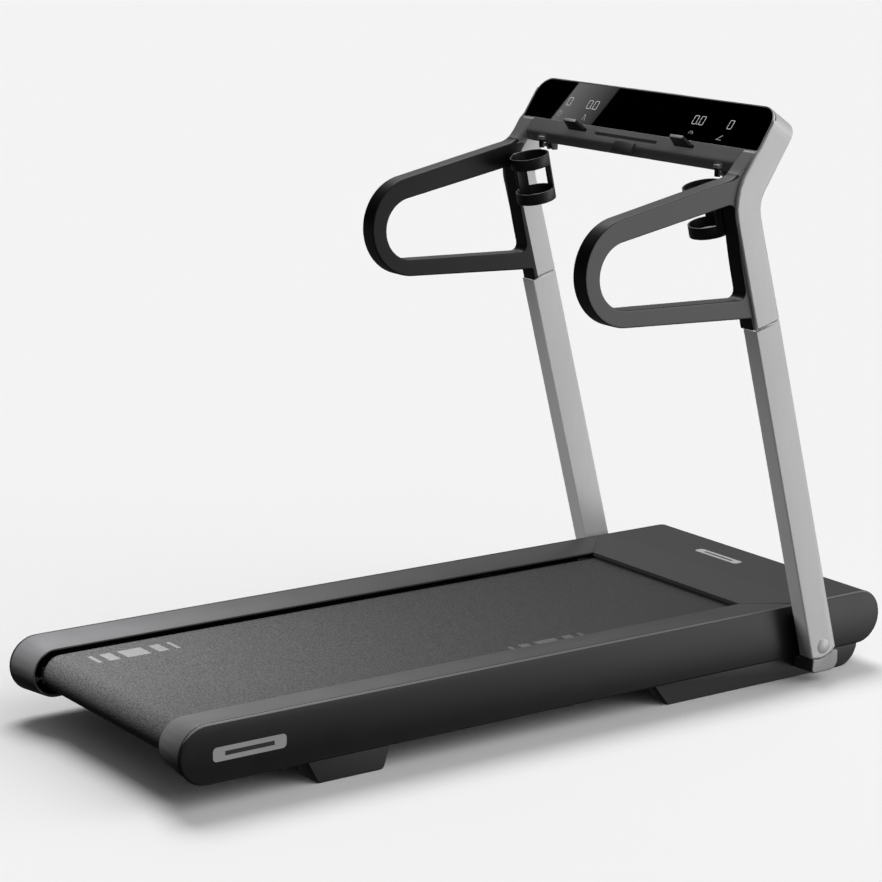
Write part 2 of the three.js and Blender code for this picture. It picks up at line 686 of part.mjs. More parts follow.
function shoe() {
  const seat = arc(FOOT_ARC.y, FOOT_ARC.z, FOOT_ARC.radius + GAP, -44, -108, 10);
  const outline = rounded([
    [640, SHOE_BOTTOM_Z, 8], [716.5, SHOE_BOTTOM_Z, 22], [713.5, 64], ...seat.slice(1, -1), [641.5, 55]]);
  const block = alongX(outline, [LIFT_ARM_X[1] + 1, UPRIGHT_X[1]], { bevel: 3, bevelSegments: 2 });
  return cut(block, box([330, UPRIGHT_X[0] - GAP], [600, 760], [46.8, 90]));
}

addPair('upright_tube', uprightTube(), 'silver');
addPair('upright_shoe', shoe(), 'silver');
addPair('upright_bolt', footBolt(), 'silver');

// ---------------------------------------------------------------- upright heads
// The head's rear side follows the tube, bends at the knee and then follows the glass.
const KNEE_TANGENT_UP = 219.7;          // distance up the tube to the start of the bend
const kneeCentre = onTube(KNEE_TANGENT_UP, KNEE_RADIUS);
const KNEE_START = 180 + THREE.MathUtils.radToDeg(UPRIGHT_LEAN);
const KNEE_END = 180 - THREE.MathUtils.radToDeg(GLASS_TILT);

// The rear side at a depth into the casting; the depth may change round the bend.
function headRear(tubeDepth, glassDepth, topUp) {
  return [
    onTube(GAP, tubeDepth),
    ...arc(...kneeCentre, KNEE_RADIUS - tubeDepth, KNEE_START, KNEE_END, 10, KNEE_RADIUS - glassDepth),
    onConsole(topUp, -glassDepth),
  ];
}

function uprightHead() {
  const kneeFront = rounded([
    onConsole(CONSOLE_TOP + 10, -HEAD_DEPTH),
    onConsole(-45, -HEAD_DEPTH),
    [436.6, 1046.5, 60],
    onTube(200, UPRIGHT_DEPTH - 1),
    onTube(GAP, UPRIGHT_DEPTH),
  ]);
  const outline = [
    ...headRear(5, -4, -8), onConsole(6, 0), onConsole(CONSOLE_TOP + 10, 0), ...kneeFront].reverse();
  const blank = alongX(outline, UPRIGHT_X, { bevel: 4, bevelSegments: 2 });
  const faceOutline = rounded([
    [UPRIGHT_X[1], -700], [UPRIGHT_X[1], CONSOLE_TOP, HEAD_CORNER], [300, CONSOLE_TOP], [300, -700]], 8);
  const facePrism = extrude(shapeOf(faceOutline.reverse()), 400)
    .translate(0, 0, -300)
    .applyMatrix4(CONSOLE_FRAME);
  const legDepth = HANDLE_LEG + GAP;
  const legPocket = [
    onTube(-5, -30), ...headRear(-30, -30, 3).slice(1),
    ...headRear(legDepth, legDepth, 3).slice(1).reverse(), onTube(-5, legDepth)];
  const glassPocket = new THREE.BoxGeometry(200, 200, 40)
    .translate(388.6 - 100, 98.5, 13)
    .applyMatrix4(CONSOLE_FRAME);
  return cut(
    common(blank, facePrism), alongX(legPocket, [300, HANDLE_X[1] + GAP]), glassPocket);
}

addPair('upright_head', uprightHead(), 'silver');

// ---------------------------------------------------------------- handles
function handle() {
  const topSlope = THREE.MathUtils.degToRad(12);
  const topTangent = [
    HANDLE_OUTER.y - HANDLE_OUTER.radius * Math.sin(topSlope),
    HANDLE_OUTER.z + HANDLE_OUTER.radius * Math.cos(topSlope)];
  const armRoot = [378.5, topTangent[1] + (378.5 - topTangent[0]) * Math.tan(topSlope), 60];
  const crotch = onTube(27, 0);
  const outline = rounded([
    onConsole(-2, -HANDLE_LEG), onConsole(-2, 0), armRoot,
    ...arc(HANDLE_OUTER.y, HANDLE_OUTER.z, HANDLE_OUTER.radius, 102, 268, 18),
    [...crotch, 4], onTube(0.6, 0),
    ...headRear(HANDLE_LEG, HANDLE_LEG, -2).slice(0, -1)]);
  const opening = rounded([
    ...arc(HANDLE_INNER.y, HANDLE_INNER.z, HANDLE_INNER.radius, 101.5, 268.5, 14),
    [419, 850, 15], onTube(150, 0), [375, 1047.5, 16]]);
  return alongX(outline, HANDLE_X, { bevel: 4, bevelSegments: 2, holes: [opening] });
}

addPair('handle', handle(), 'moulding');

// ---------------------------------------------------------------- console
function consolePrism(outline, [out0, out1]) {
  return extrude(shapeOf(outline), out1 - out0)
    .translate(0, 0, out0)
    .applyMatrix4(CONSOLE_FRAME);
}

function consoleBox(x, up, out) {
  return box(x, up, out).applyMatrix4(CONSOLE_FRAME);
}

function facePlate(halfWidth, bottom, top, corner) {
  return rounded([
    [-halfWidth, bottom], [halfWidth, bottom], [halfWidth, top, corner], [-halfWidth, top, corner]], 8);
}

function consoleShell() {
  const flange = consolePrism(facePlate(388.2, -1, CONSOLE_TOP + 0.3, 41), [-6.6, 0]);
  const back = consolePrism(rounded([
    [-352.1, -1], [352.1, -1], [352.1, CONSOLE_TOP, 12], [-352.1, CONSOLE_TOP, 12]]), [-32, -6]);
  const topRidge = consoleBox([-90, 90], [CONSOLE_TOP - 4, CONSOLE_TOP + 2], [-30, -3]);
  const glassSeat = consolePrism(facePlate(385, 0, 96.4, 38), [-4.6, 5]);
  const cavity = consoleBox([-340, 340], [8, 90], [-28, 5]);
  return cut(join(flange, back, topRidge), glassSeat, cavity);
}

// Cross-section of the ledge under the glass, as [up, out] in the console's own directions.
const ledgeSection = rounded([
  [-1.4, 0], [-1.4, -31.6], [-22, -38], [-46.5, -22, 2], [-46.8, -17.9, 2],
  [-35.9, -7.2, 2], [-39.5, -0.5, 2],
  [-36.6, 3.4, 4], [-29.6, 3.6]]);

function consoleLedge() {
  const reach = HANDLE_X[0] - GAP;
  const outline = ledgeSection.map(([up, out]) => onConsole(up, out));
  const groove = consoleBox([-120, 86], [-21, -13], [-4.5, 10]);
  return cut(alongX(outline, [-reach, reach]), groove);
}

add('console_shell', consoleShell(), 'silver');
add('console_ledge', consoleLedge(), 'moulding');
const glassOutline = facePlate(GLASS_HALF_WIDTH, 0.4, GLASS_HEIGHT, 37.6);
add('display_glass', consolePrism(glassOutline, [-4.2, -0.2]), 'glass');
add('display_board', consoleBox([-330, 330], [14, 84], [-12, -8]), 'copper');

// ---------------------------------------------------------------- console controls
// A tongue that a tablet rests on; it is hinged at its root and folds up against the glass.
const REST_PIVOT = { up: -15, out: 7 };
const REST_ANGLE = THREE.MathUtils.degToRad(80.3);
const REST_LENGTH = 28.6;
function tabletRest() {
  const tongue = extrude(shapeOf([[-27.5, 0], [27.5, 0], [20, REST_LENGTH], [-20, REST_LENGTH]]), 7)
    .translate(0, 0, -3.5);
  const barrel = rodX(4.5, [-27.5, 27.5], 0, 0, 24);
  return join(tongue, barrel)
    .rotateX(REST_ANGLE)
    .translate(176.5, REST_PIVOT.up, REST_PIVOT.out)
    .applyMatrix4(CONSOLE_FRAME);
}

// A finger lever under the ledge: cap, hanging paddle, and an arm back to its pivot.
function lever() {
  const cap = box([-8, 8], [404, 415], [1107.5, 1114.5]);
  const paddle = box([-6, 6], [407, 413], [1090, 1108]);
  const arm = alongX([[412, 1101], [411, 1094], [438, 1086.8], [441, 1094.4]], [-5, 5]);
  const knuckle = rodX(4, [-5, 5], LEVER_PIVOT.y, LEVER_PIVOT.z, 20);
  return join(cap, paddle, arm, knuckle).translate(LEVER_X, 0, 0);
}

function leverMount() {
  const cheek = [[427, 1100.9], [448, 1110], [447, 1084], [433, 1084]];
  const bay = box([-6.2, 6.2], [420, 460], [1080, 1099]);
  return cut(alongX(cheek, [-10, 10]), bay).translate(LEVER_X, 0, 0);
}

const stopKey = consoleBox([-32, 32], [-55, -29], [4.4, 10.6]);

addPair('tablet_rest', tabletRest(), 'black');
add('speed_lever', lever(), 'black');
add('incline_lever', mirrored(lever()), 'black');
addPair('lever_mount', leverMount(), 'black');
add('stop_key', stopKey, 'moulding');

// ---------------------------------------------------------------- cup holders
// Two rings and a floor joined by a broad strut on the inner side and a bracket at the handle.
const CUP_STRUT = [83, 147];            // degrees round the cup from +X
const CUP_BRACKET = [-20, 20];

function cupHolder() {
  const wall = 3;
  const low = -CUP_RING_SPACING - CUP_RING_HEIGHT;
  const tube = turnedRing(CUP_RADIUS - wall, CUP_RADIUS, [low, 0]);
  const floor = turnedRing(8, CUP_RADIUS - 1, [low, low + wall]);
  const bracket = box([CUP_RADIUS - 2.6, HANDLE_X[0] - GAP - CUP_CENTRE.x], [-9, 9], [low + 8, -2]);
  return cut(
    join(tube, floor, bracket),
    cupWindow(CUP_BRACKET[1], CUP_STRUT[0]),
    cupWindow(CUP_STRUT[1], CUP_BRACKET[0] + 360))
    .rotateX(CUP_LEAN)
    .translate(CUP_CENTRE.x, CUP_CENTRE.y, CUP_CENTRE.z);
}

// The open sector between the two rings, from one angle to another.
function cupWindow(startDegrees, endDegrees) {
  const sector = [[0, 0], ...arc(0, 0, CUP_RADIUS * 1.4, startDegrees, endDegrees, 6)];
  return extrude(shapeOf(sector), CUP_RING_SPACING - CUP_RING_HEIGHT).translate(0, 0, -CUP_RING_SPACING);
}

// A ring on a vertical axis through the origin.
function turnedRing(inner, outer, [z0, z1]) {
  return new THREE.LatheGeometry(
    closedRing(inner, outer, [z0, z1]).map(([r, z]) => new THREE.Vector2(r, z)), 32)
    .rotateX(Math.PI / 2);
}

addPair('cup_holder', cupHolder(), 'black');

export default treadmill;
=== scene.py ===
"""A home treadmill in a plain pale studio. Metres; +X is the runner's right, +Y the motor end, +Z up."""
import math

import bmesh
import bpy
from mathutils import Matrix, Vector
from mathutils.geometry import tessellate_polygon


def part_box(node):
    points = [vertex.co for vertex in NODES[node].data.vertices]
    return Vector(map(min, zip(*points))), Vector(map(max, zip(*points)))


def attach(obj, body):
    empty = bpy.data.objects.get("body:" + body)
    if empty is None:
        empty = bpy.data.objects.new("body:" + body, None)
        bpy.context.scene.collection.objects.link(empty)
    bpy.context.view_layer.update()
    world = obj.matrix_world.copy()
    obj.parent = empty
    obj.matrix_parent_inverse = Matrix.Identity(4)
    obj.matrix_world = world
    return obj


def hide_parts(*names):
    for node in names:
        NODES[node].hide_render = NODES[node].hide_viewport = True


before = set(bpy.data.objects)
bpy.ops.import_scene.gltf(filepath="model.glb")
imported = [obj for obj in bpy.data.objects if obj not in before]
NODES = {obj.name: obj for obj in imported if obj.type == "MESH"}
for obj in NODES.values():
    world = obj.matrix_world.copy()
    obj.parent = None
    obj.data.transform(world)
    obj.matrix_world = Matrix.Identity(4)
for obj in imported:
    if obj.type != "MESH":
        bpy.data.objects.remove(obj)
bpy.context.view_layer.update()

scene = bpy.context.scene

# ---------------------------------------------------------------- camera
CAMERA_AZIMUTH = math.radians(54.2959)
CAMERA_ELEVATION = math.radians(12.7708)
CAMERA_ROLL = math.radians(0.826)
CAMERA_PLACE = Vector((4.4261, -3.2415, 1.7764))
CAMERA_LENS = 110.83


def make_camera():
    az, el = CAMERA_AZIMUTH, CAMERA_ELEVATION
    back = Vector((math.sin(az) * math.cos(el), -math.cos(az) * math.cos(el), math.sin(el)))
    level = Vector((math.cos(az), math.sin(az), 0))
    upright = back.cross(level)
    right = math.cos(CAMERA_ROLL) * level + math.sin(CAMERA_ROLL) * upright
    up = -math.sin(CAMERA_ROLL) * level + math.cos(CAMERA_ROLL) * upright
    data = bpy.data.cameras.new("camera")
    data.sensor_width = 36
    data.lens = CAMERA_LENS
    data.clip_end = 400
    camera = bpy.data.objects.new("camera", data)
    turn = Matrix((right, up, back)).transposed().to_4x4()
    camera.matrix_world = Matrix.Translation(CAMERA_PLACE) @ turn
    scene.collection.objects.link(camera)
    scene.camera = camera


make_camera()

# ---------------------------------------------------------------- materials


class Graph:
    """A small wrapper for building a node tree."""

    def __init__(self, tree):
        self.tree = tree
        self.tree.nodes.clear()

    def node(self, kind, **settings):
        made = self.tree.nodes.new(kind)
        for key, value in settings.items():
            setattr(made, key, value)
        return made

    def link(self, source, target):
        self.tree.links.new(source, target)

    def feed(self, target, value):
        if isinstance(value, bpy.types.NodeSocket):
            self.link(value, target)
        else:
            target.default_value = value

    def split(self, vector):
        made = self.node("ShaderNodeSeparateXYZ")
        self.link(vector, made.inputs[0])
        return made.outputs

    def math(self, operation, *values):
        made = self.node("ShaderNodeMath", operation=operation)
        for socket, value in zip(made.inputs, values):
            self.feed(socket, value)
        return made.outputs[0]

    def remap(self, value, low, high, to_low, to_high):
        made = self.node("ShaderNodeMapRange")
        self.feed(made.inputs["Value"], value)
        for key, number in zip(("From Min", "From Max", "To Min", "To Max"), (low, high, to_low, to_high)):
            made.inputs[key].default_value = number
        return made.outputs[0]

    def soft_remap(self, value, low, high):
        made = self.node("ShaderNodeMapRange", interpolation_type="SMOOTHSTEP")
        self.feed(made.inputs["Value"], value)
        made.inputs["From Min"].default_value = low
        made.inputs["From Max"].default_value = high
        return made.outputs[0]

    def mix(self, factor, first, second):
        made = self.node("ShaderNodeMix", data_type="RGBA")
        self.feed(made.inputs["Factor"], factor)
        self.feed(made.inputs["A"], first)
        self.feed(made.inputs["B"], second)
        return made.outputs["Result"]


class Surface(Graph):
    """A material's nodes round one Principled shader, in the piece's own coordinates."""

    def __init__(self, name):
        self.material = bpy.data.materials.new(name)
        self.material.use_nodes = True
        super().__init__(self.material.node_tree)
        self.shader = self.node("ShaderNodeBsdfPrincipled")
        output = self.node("ShaderNodeOutputMaterial")
        self.link(self.shader.outputs[0], output.inputs["Surface"])
        self.place = self.node("ShaderNodeTexCoord").outputs["Object"]

    def facing(self):
        """The three parts of the surface normal."""
        return self.split(self.node("ShaderNodeNewGeometry").outputs["Normal"])

    def noise(self, scale, detail=4.0, roughness=0.55, stretch=None):
        made = self.node("ShaderNodeTexNoise")
        made.inputs["Scale"].default_value = scale
        made.inputs["Detail"].default_value = detail
        made.inputs["Roughness"].default_value = roughness
        place = self.place
        if stretch:
            mapping = self.node("ShaderNodeMapping")
            mapping.inputs["Scale"].default_value = stretch
            self.link(place, mapping.inputs["Vector"])
            place = mapping.outputs[0]
        self.link(place, made.inputs["Vector"])
        return made.outputs["Fac"]

    def bump(self, height, strength, distance, below=None):
        made = self.node("ShaderNodeBump")
        made.inputs["Strength"].default_value = strength
        made.inputs["Distance"].default_value = distance
        self.link(height, made.inputs["Height"])
        if below is not None:
            self.link(below, made.inputs["Normal"])
        return made.outputs[0]

    def set(self, **values):
        for key, value in values.items():
            self.feed(self.shader.inputs[key.replace("_", " ")], value)


def grey(value, tint=(0.0, 0.0, 0.0)):
    return (value + tint[0], value + tint[1], value + tint[2], 1.0)


COOL = (0.0, 0.0, 0.001)    # the greys lean a little to blue
MOTTLE = 0.08               # slow variation of a moulding's tone


def moulded(name, value, roughness, grain_scale=900.0, grain=0.25, depth=0.00012, specular=0.5,
            seam_shade_from=None, chamfer=None):
    """Moulded or coated surface: fine texture and slightly uneven sheen.

    seam_shade_from paints the cover black beyond that |x|, a painted shade of the seam gap; chamfer paints
    upward chamfers a lighter grey, a painted highlight.
    """
    g = Surface(name)
    broad = g.noise(7.0, 3.0)
    fine = g.noise(grain_scale, 3.0, 0.6)
    shade = g.mix(g.remap(broad, 0.3, 0.7, 0.0, 1.0), grey(value * (1 - MOTTLE), COOL),
                  grey(value * (1 + MOTTLE), COOL))
    # painted shade: beyond this |x| the colour turns black, standing in for the shadow in the seam gap
    if seam_shade_from is not None:
        seam_shade_mask = g.math("GREATER_THAN", g.math("ABSOLUTE", g.split(g.place)["X"]), seam_shade_from)
        shade = g.mix(seam_shade_mask, shade, grey(0.004))
    # painted highlight: faces that slant upwards and sideways are painted the lighter chamfer grey
    if chamfer is not None:
        normal = g.facing()
        slanted = g.math("MULTIPLY", g.soft_remap(normal["Z"], 0.35, 0.6),
                         g.math("GREATER_THAN", g.math("ABSOLUTE", normal["X"]), 0.3))
        shade = g.mix(slanted, shade, grey(chamfer))
    g.set(Base_Color=shade, Specular_IOR_Level=specular)
    rough = g.math("ADD", g.remap(broad, 0.3, 0.7, roughness - 0.03, roughness + 0.03),
                   g.remap(fine, 0.3, 0.7, -0.03, 0.03))
    g.set(Roughness=rough, Normal=g.bump(fine, grain, depth))
    return g.material


def anodised(name, value, roughness=0.4, metallic=0.35):
    """Satin metal coat: a barely visible grain along the piece and faint broad variation."""
    g = Surface(name)
    broad = g.noise(4.0, 2.0)
    grain = g.noise(260.0, 4.0, 0.65, stretch=(1.0, 0.35, 0.06))
    speck = g.noise(2400.0, 2.0)
    shade = g.mix(g.remap(grain, 0.35, 0.65, 0.0, 1.0), grey(value * 0.985), grey(value * 1.015))
    rough = g.math("ADD", g.remap(broad, 0.3, 0.7, roughness - 0.02, roughness + 0.02),
                   g.remap(speck, 0.3, 0.7, -0.03, 0.03))
    g.set(Base_Color=shade, Metallic=metallic, Roughness=rough,
          Normal=g.bump(speck, 0.06, 0.00005, g.bump(grain, 0.015, 0.00004)))
    return g.material


def shoe_material():
    """Satin metal whose rearward-facing side is painted dark, non-metallic and rougher: painted shade."""
    g = Surface("shoe_material")
    broad = g.noise(6.0, 2.0)
    speck = g.noise(1800.0, 2.0)
    # painted shade: faces turned towards the rear are darkened
    rearward = g.soft_remap(g.math("MULTIPLY", g.facing()["Y"], -1.0), 0.35, 0.8)
    rough = g.math("ADD", g.remap(broad, 0.3, 0.7, 0.38, 0.44), g.remap(rearward, 0.0, 1.0, 0.0, 0.1))
    g.set(Base_Color=g.mix(rearward, grey(0.26), grey(0.03)),
          Metallic=g.remap(rearward, 0.0, 1.0, 0.35, 0.0),
          Roughness=rough, Normal=g.bump(speck, 0.08, 0.00005))
    return g.material


def turned(name, value, roughness=0.25):
    """Machined steel with fine rings around the X axis."""
    g = Surface(name)
    rings = g.noise(700.0, 2.0, 0.6, stretch=(1.0, 0.02, 0.02))
    smear = g.noise(22.0, 3.0)
    shade = g.mix(g.remap(smear, 0.3, 0.7, 0.0, 1.0), grey(value * 0.9), grey(value * 1.05))
    rough = g.remap(rings, 0.3, 0.7, roughness - 0.08, roughness + 0.1)
    g.set(Base_Color=shade, Metallic=1.0, Roughness=rough, Normal=g.bump(rings, 0.2, 0.00005))
    return g.material


# Bars printed on the belt: (start, end) along the deck, measured from the first bar's start.
BELT_BARS = ((0.0, 0.0085), (0.0262, 0.0505), (0.0668, 0.1202), (0.1385, 0.162), (0.1795, 0.1885))
BELT_PRINTS = (
    {"x": (-0.2044, -0.1575), "start": -0.7768},
    {"x": (0.2, 0.2465), "start": -0.0316},
)
UPPER_RUN = 0.12            # only the run above this height is printed


def belt_material():
    """Running belt: rounded pimples over an uneven cast, and paler printed bars."""
    g = Surface("belt_material")
    x, y, z = g.split(g.place)

    def between(value, low, high, soft=0.0006):
        rise = g.remap(value, low - soft, low + soft, 0.0, 1.0)
        fall = g.remap(value, high - soft, high + soft, 1.0, 0.0)
        return g.math("MULTIPLY", rise, fall)

    printed = None
    for block in BELT_PRINTS:
        bars = None
        for start, end in BELT_BARS:
            bar = between(y, block["start"] + start, block["start"] + end)
            bars = bar if bars is None else g.math("MAXIMUM", bars, bar)
        patch = g.math("MULTIPLY", bars, between(x, *block["x"]))
        printed = patch if printed is None else g.math("MAXIMUM", printed, patch)
    printed = g.math("MULTIPLY", printed, g.math("GREATER_THAN", z, UPPER_RUN))

    pimples = g.node("ShaderNodeTexVoronoi", feature="SMOOTH_F1")
    pimples.inputs["Scale"].default_value = 420.0
    pimples.inputs["Smoothness"].default_value = 0.6
    g.link(g.place, pimples.inputs["Vector"])
    pebble = pimples.outputs["Distance"]
    cast = g.noise(250.0, 4.0, 0.8)
    broad = g.noise(9.0, 4.0)
    speck = g.noise(480.0, 2.0, 0.7)
    height = g.math("ADD", g.remap(pebble, 0.0, 0.9, 1.0, 0.0), g.remap(cast, 0.3, 0.7, 0.0, 0.6))
    base = g.mix(g.remap(cast, 0.38, 0.62, 0.0, 1.0), grey(0.007), grey(0.031))
    base = g.mix(g.remap(broad, 0.3, 0.7, 0.0, 0.25), base, grey(0.021))
    base = g.mix(g.remap(speck, 0.42, 0.64, 0.0, 0.45), base, grey(0.058))
    ink = g.mix(g.remap(speck, 0.35, 0.65, 0.0, 1.0), grey(0.06), grey(0.085))
    g.set(Base_Color=g.mix(g.math("MULTIPLY", printed, 0.9), base, ink),
          Roughness=g.remap(cast, 0.3, 0.7, 0.55, 0.7),
          Specular_IOR_Level=0.08,
          Normal=g.bump(height, 0.7, 0.0006))
    return g.material


def glass_material():
    """Black glass: deep, glossy, with faint smears."""
    g = Surface("glass_material")
    smear = g.noise(14.0, 5.0, 0.6, stretch=(1.0, 2.2, 2.2))
    g.set(Base_Color=grey(0.0004), Roughness=g.remap(smear, 0.35, 0.7, 0.008, 0.02),
          Specular_IOR_Level=0.5)
    return g.material


def lit_material(name, strength):
    g = Surface(name)
    flicker = g.noise(300.0, 1.0)
    g.set(Base_Color=grey(0.3), Roughness=0.4,
          Emission_Strength=g.remap(flicker, 0.3, 0.7, strength * 0.9, strength * 1.1))
    g.shader.inputs["Emission Color"].default_value = (0.93, 0.96, 1.0, 1.0)
    return g.material


def circuit_material():
    g = Surface("circuit_material")
    cells = g.node("ShaderNodeTexVoronoi", feature="F1", distance="CHEBYCHEV")
    cells.inputs["Scale"].default_value = 90.0
    g.link(g.place, cells.inputs["Vector"])
    track = g.remap(cells.outputs["Distance"], 0.1, 0.5, 0.0, 1.0)
    shade = g.mix(track, (0.02, 0.07, 0.035, 1), (0.05, 0.14, 0.07, 1))
    g.set(Base_Color=shade, Roughness=g.remap(track, 0.0, 1.0, 0.35, 0.55), Normal=g.bump(track, 0.3, 0.0004))
    return g.material


SEAM_SHADE_X = 0.3338             # past this |x| the top covers are painted black: painted shade of the seam gap against the side panels
# the side panels' upward chamfer gets a painted highlight in the chamfer grey
CHARCOAL = moulded("charcoal_material", 0.007, 0.33, grain_scale=1400.0, grain=0.1, specular=0.35,
                   chamfer=0.1)
# hood and rails: their outer edges are painted black, a painted shade of the seam against the side panels
HOOD = moulded("hood_material", 0.023, 0.46, grain_scale=1200.0, grain=0.2, specular=0.09, seam_shade_from=SEAM_SHADE_X)
RAIL = moulded("rail_material", 0.036, 0.42, grain_scale=1300.0, grain=0.22, specular=0.07, seam_shade_from=SEAM_SHADE_X)
TRIM = moulded("trim_material", 0.092, 0.5, grain_scale=1100.0, grain=0.3, specular=0.4)
GRIP = moulded("grip_material", 0.006, 0.4, grain_scale=1100.0, grain=0.25, specular=0.22)
LEDGE = moulded("ledge_material", 0.21, 0.4, grain_scale=1100.0, grain=0.2)
KEY = moulded("key_material", 0.05, 0.45, grain_scale=1100.0, grain=0.3)
PAD = moulded("pad_material", 0.42, 0.55, grain_scale=900.0, grain=0.3)
BADGE = moulded("badge_material", 0.3, 0.45, grain_scale=1500.0, grain=0.1)
BLACK = moulded("black_material", 0.006, 0.45, grain_scale=1000.0, grain=0.3, specular=0.4)
FRAME = moulded("frame_material", 0.014, 0.5, grain_scale=500.0, grain=0.3, depth=0.0002)
RUBBER = moulded("rubber_material", 0.012, 0.75, grain_scale=700.0, grain=0.5, specular=0.3)
SILVER = anodised("silver_material", 0.47)
STEEL = turned("steel_material", 0.5)
# painted shade: steel coloured near-black, standing in for the shade in the gap at the rear end
SHADED_STEEL = moulded("shaded_steel_material", 0.01, 0.5, grain_scale=700.0, grain=0.2, specular=0.2)
SHOE = shoe_material()
BELT = belt_material()
GLASS = glass_material()
BOARD = moulded("board_material", 0.006, 0.6, grain_scale=600.0, grain=0.2, specular=0.2)
CIRCUIT = circuit_material()
LIT = lit_material("lit_material", 0.5)
DIM = lit_material("dim_material", 0.3)

# ---------------------------------------------------------------- frame nodes: material and edge softening


def dress(name, material, bevel=0.0, segments=2, angle=35.0):
    """A bevel softens crisp edges; a piece whose edges are rounded already only has its shading evened."""
    node = NODES[name]
    node.data.materials.clear()
    node.data.materials.append(material)
    for face in node.data.polygons:
        face.use_smooth = True
    weld = node.modifiers.new("weld", "WELD")
    weld.merge_threshold = 0.00001
    if bevel:
        soft = node.modifiers.new("soft_edges", "BEVEL")
        soft.width = bevel
        soft.segments = segments
        soft.limit_method = "ANGLE"
        soft.angle_limit = math.radians(angle)
        soft.harden_normals = True
        soft.use_clamp_overlap = True
    else:
        split = node.modifiers.new("creases", "EDGE_SPLIT")
        split.split_angle = math.radians(angle)
        node.modifiers.new("even_shading", "WEIGHTED_NORMAL")


def both(stem, material, **options):
    for side in ("right", "left"):
        dress(f"{stem}_{side}", material, **options)


both("side_panel", CHARCOAL, bevel=0.0006, angle=20.0)
both("foot_rail", RAIL, bevel=0.001, angle=30.0)
dress("belly_pan", BLACK, bevel=0.0005)
both("frame_rail", FRAME, angle=30.0)
for place in ("rear", "middle", "front"):
    dress(f"cross_member_{place}", FRAME, bevel=0.001)
dress("running_belt", BELT, angle=40.0)
dress("running_board", BOARD, bevel=0.001)
both("board_cushion", RUBBER, bevel=0.001)
# the rear roller, its axle and the tension bolts are steel painted near-black: painted shade of the gap they
# sit in
dress("rear_roller", SHADED_STEEL, bevel=0.0008)
dress("rear_roller_axle", SHADED_STEEL, bevel=0.0005)
both("tension_bolt", SHADED_STEEL, bevel=0.0004)
dress("front_roller", STEEL, bevel=0.0006)
dress("drive_motor", FRAME, bevel=0.001)
dress("motor_rotor", STEEL, bevel=0.0006)
dress("motor_cradle", FRAME)
dress("drive_belt", RUBBER, angle=40.0)
dress("control_board", CIRCUIT, bevel=0.0005)
dress("power_panel", BLACK, bevel=0.0005)
dress("power_switch", BLACK, bevel=0.0005)
both("rear_foot", BLACK, bevel=0.001)
both("lift_arm", BLACK, bevel=0.001, angle=25.0)
both("lift_wheel", RUBBER, bevel=0.001)
dress("lift_tube", FRAME, bevel=0.0005)
dress("lift_actuator", FRAME, bevel=0.0008)
dress("lift_screw", STEEL, bevel=0.0005)
both("upright_tube", SILVER, angle=50.0)
# the shoes carry painted shade on their rearward side
both("upright_shoe", SHOE, angle=50.0)
both("upright_bolt", SILVER, bevel=0.0002)
both("upright_head", SILVER, angle=50.0)
dress("console_shell", SILVER, bevel=0.0006, angle=28.0)
dress("display_glass", GLASS, angle=28.0)
dress("display_board", CIRCUIT)
both("tablet_rest", BLACK, bevel=0.0012, segments=3)
dress("speed_lever", BLACK, bevel=0.001, segments=3)
dress("incline_lever", BLACK, bevel=0.001, segments=3)
both("lever_mount", BLACK, bevel=0.0006)
dress("stop_key", KEY, bevel=0.0015, segments=3)
both("cup_holder", BLACK, bevel=0.0008, angle=40.0)


def pad_faces(name, chosen):
    """The soft grey pads moulded onto a black control."""
    node = NODES[name]
    node.data.materials.append(PAD)
    for face in node.data.polygons:
        face.material_index = 1 if chosen(face.center, face.normal) else 0


REST_TIP_Z = 1.155          # the end faces of the tablet rests lie above this height
LEVER_CAP_Z = 1.1076        # and the caps of the levers above this one


def on_rest_tip(middle, normal):
    return normal.y < -0.7 and normal.z > 0.6 and middle.z > REST_TIP_Z


def on_lever_cap(middle, _normal):
    return middle.z > LEVER_CAP_Z


for side in ("right", "left"):
    pad_faces(f"tablet_rest_{side}", on_rest_tip)
for lever in ("speed_lever", "incline_lever"):
    pad_faces(lever, on_lever_cap)

# ---------------------------------------------------------------- mesh helpers


def add_piece(name, verts, faces, material, body, smooth=True):
    mesh = bpy.data.meshes.new(name)
    mesh.from_pydata([tuple(v) for v in verts], [], faces)
    mesh.materials.append(material)
    for face in mesh.polygons:
        face.use_smooth = smooth
    mesh.validate()
    work = bmesh.new()
    work.from_mesh(mesh)
    bmesh.ops.recalc_face_normals(work, faces=work.faces)
    work.to_mesh(mesh)
    work.free()
    piece = bpy.data.objects.new(name, mesh)
    scene.collection.objects.link(piece)
    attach(piece, body)
    return piece


EDGE_DEPTH = 0.0035         # the side wall of a handle starts deeper than this


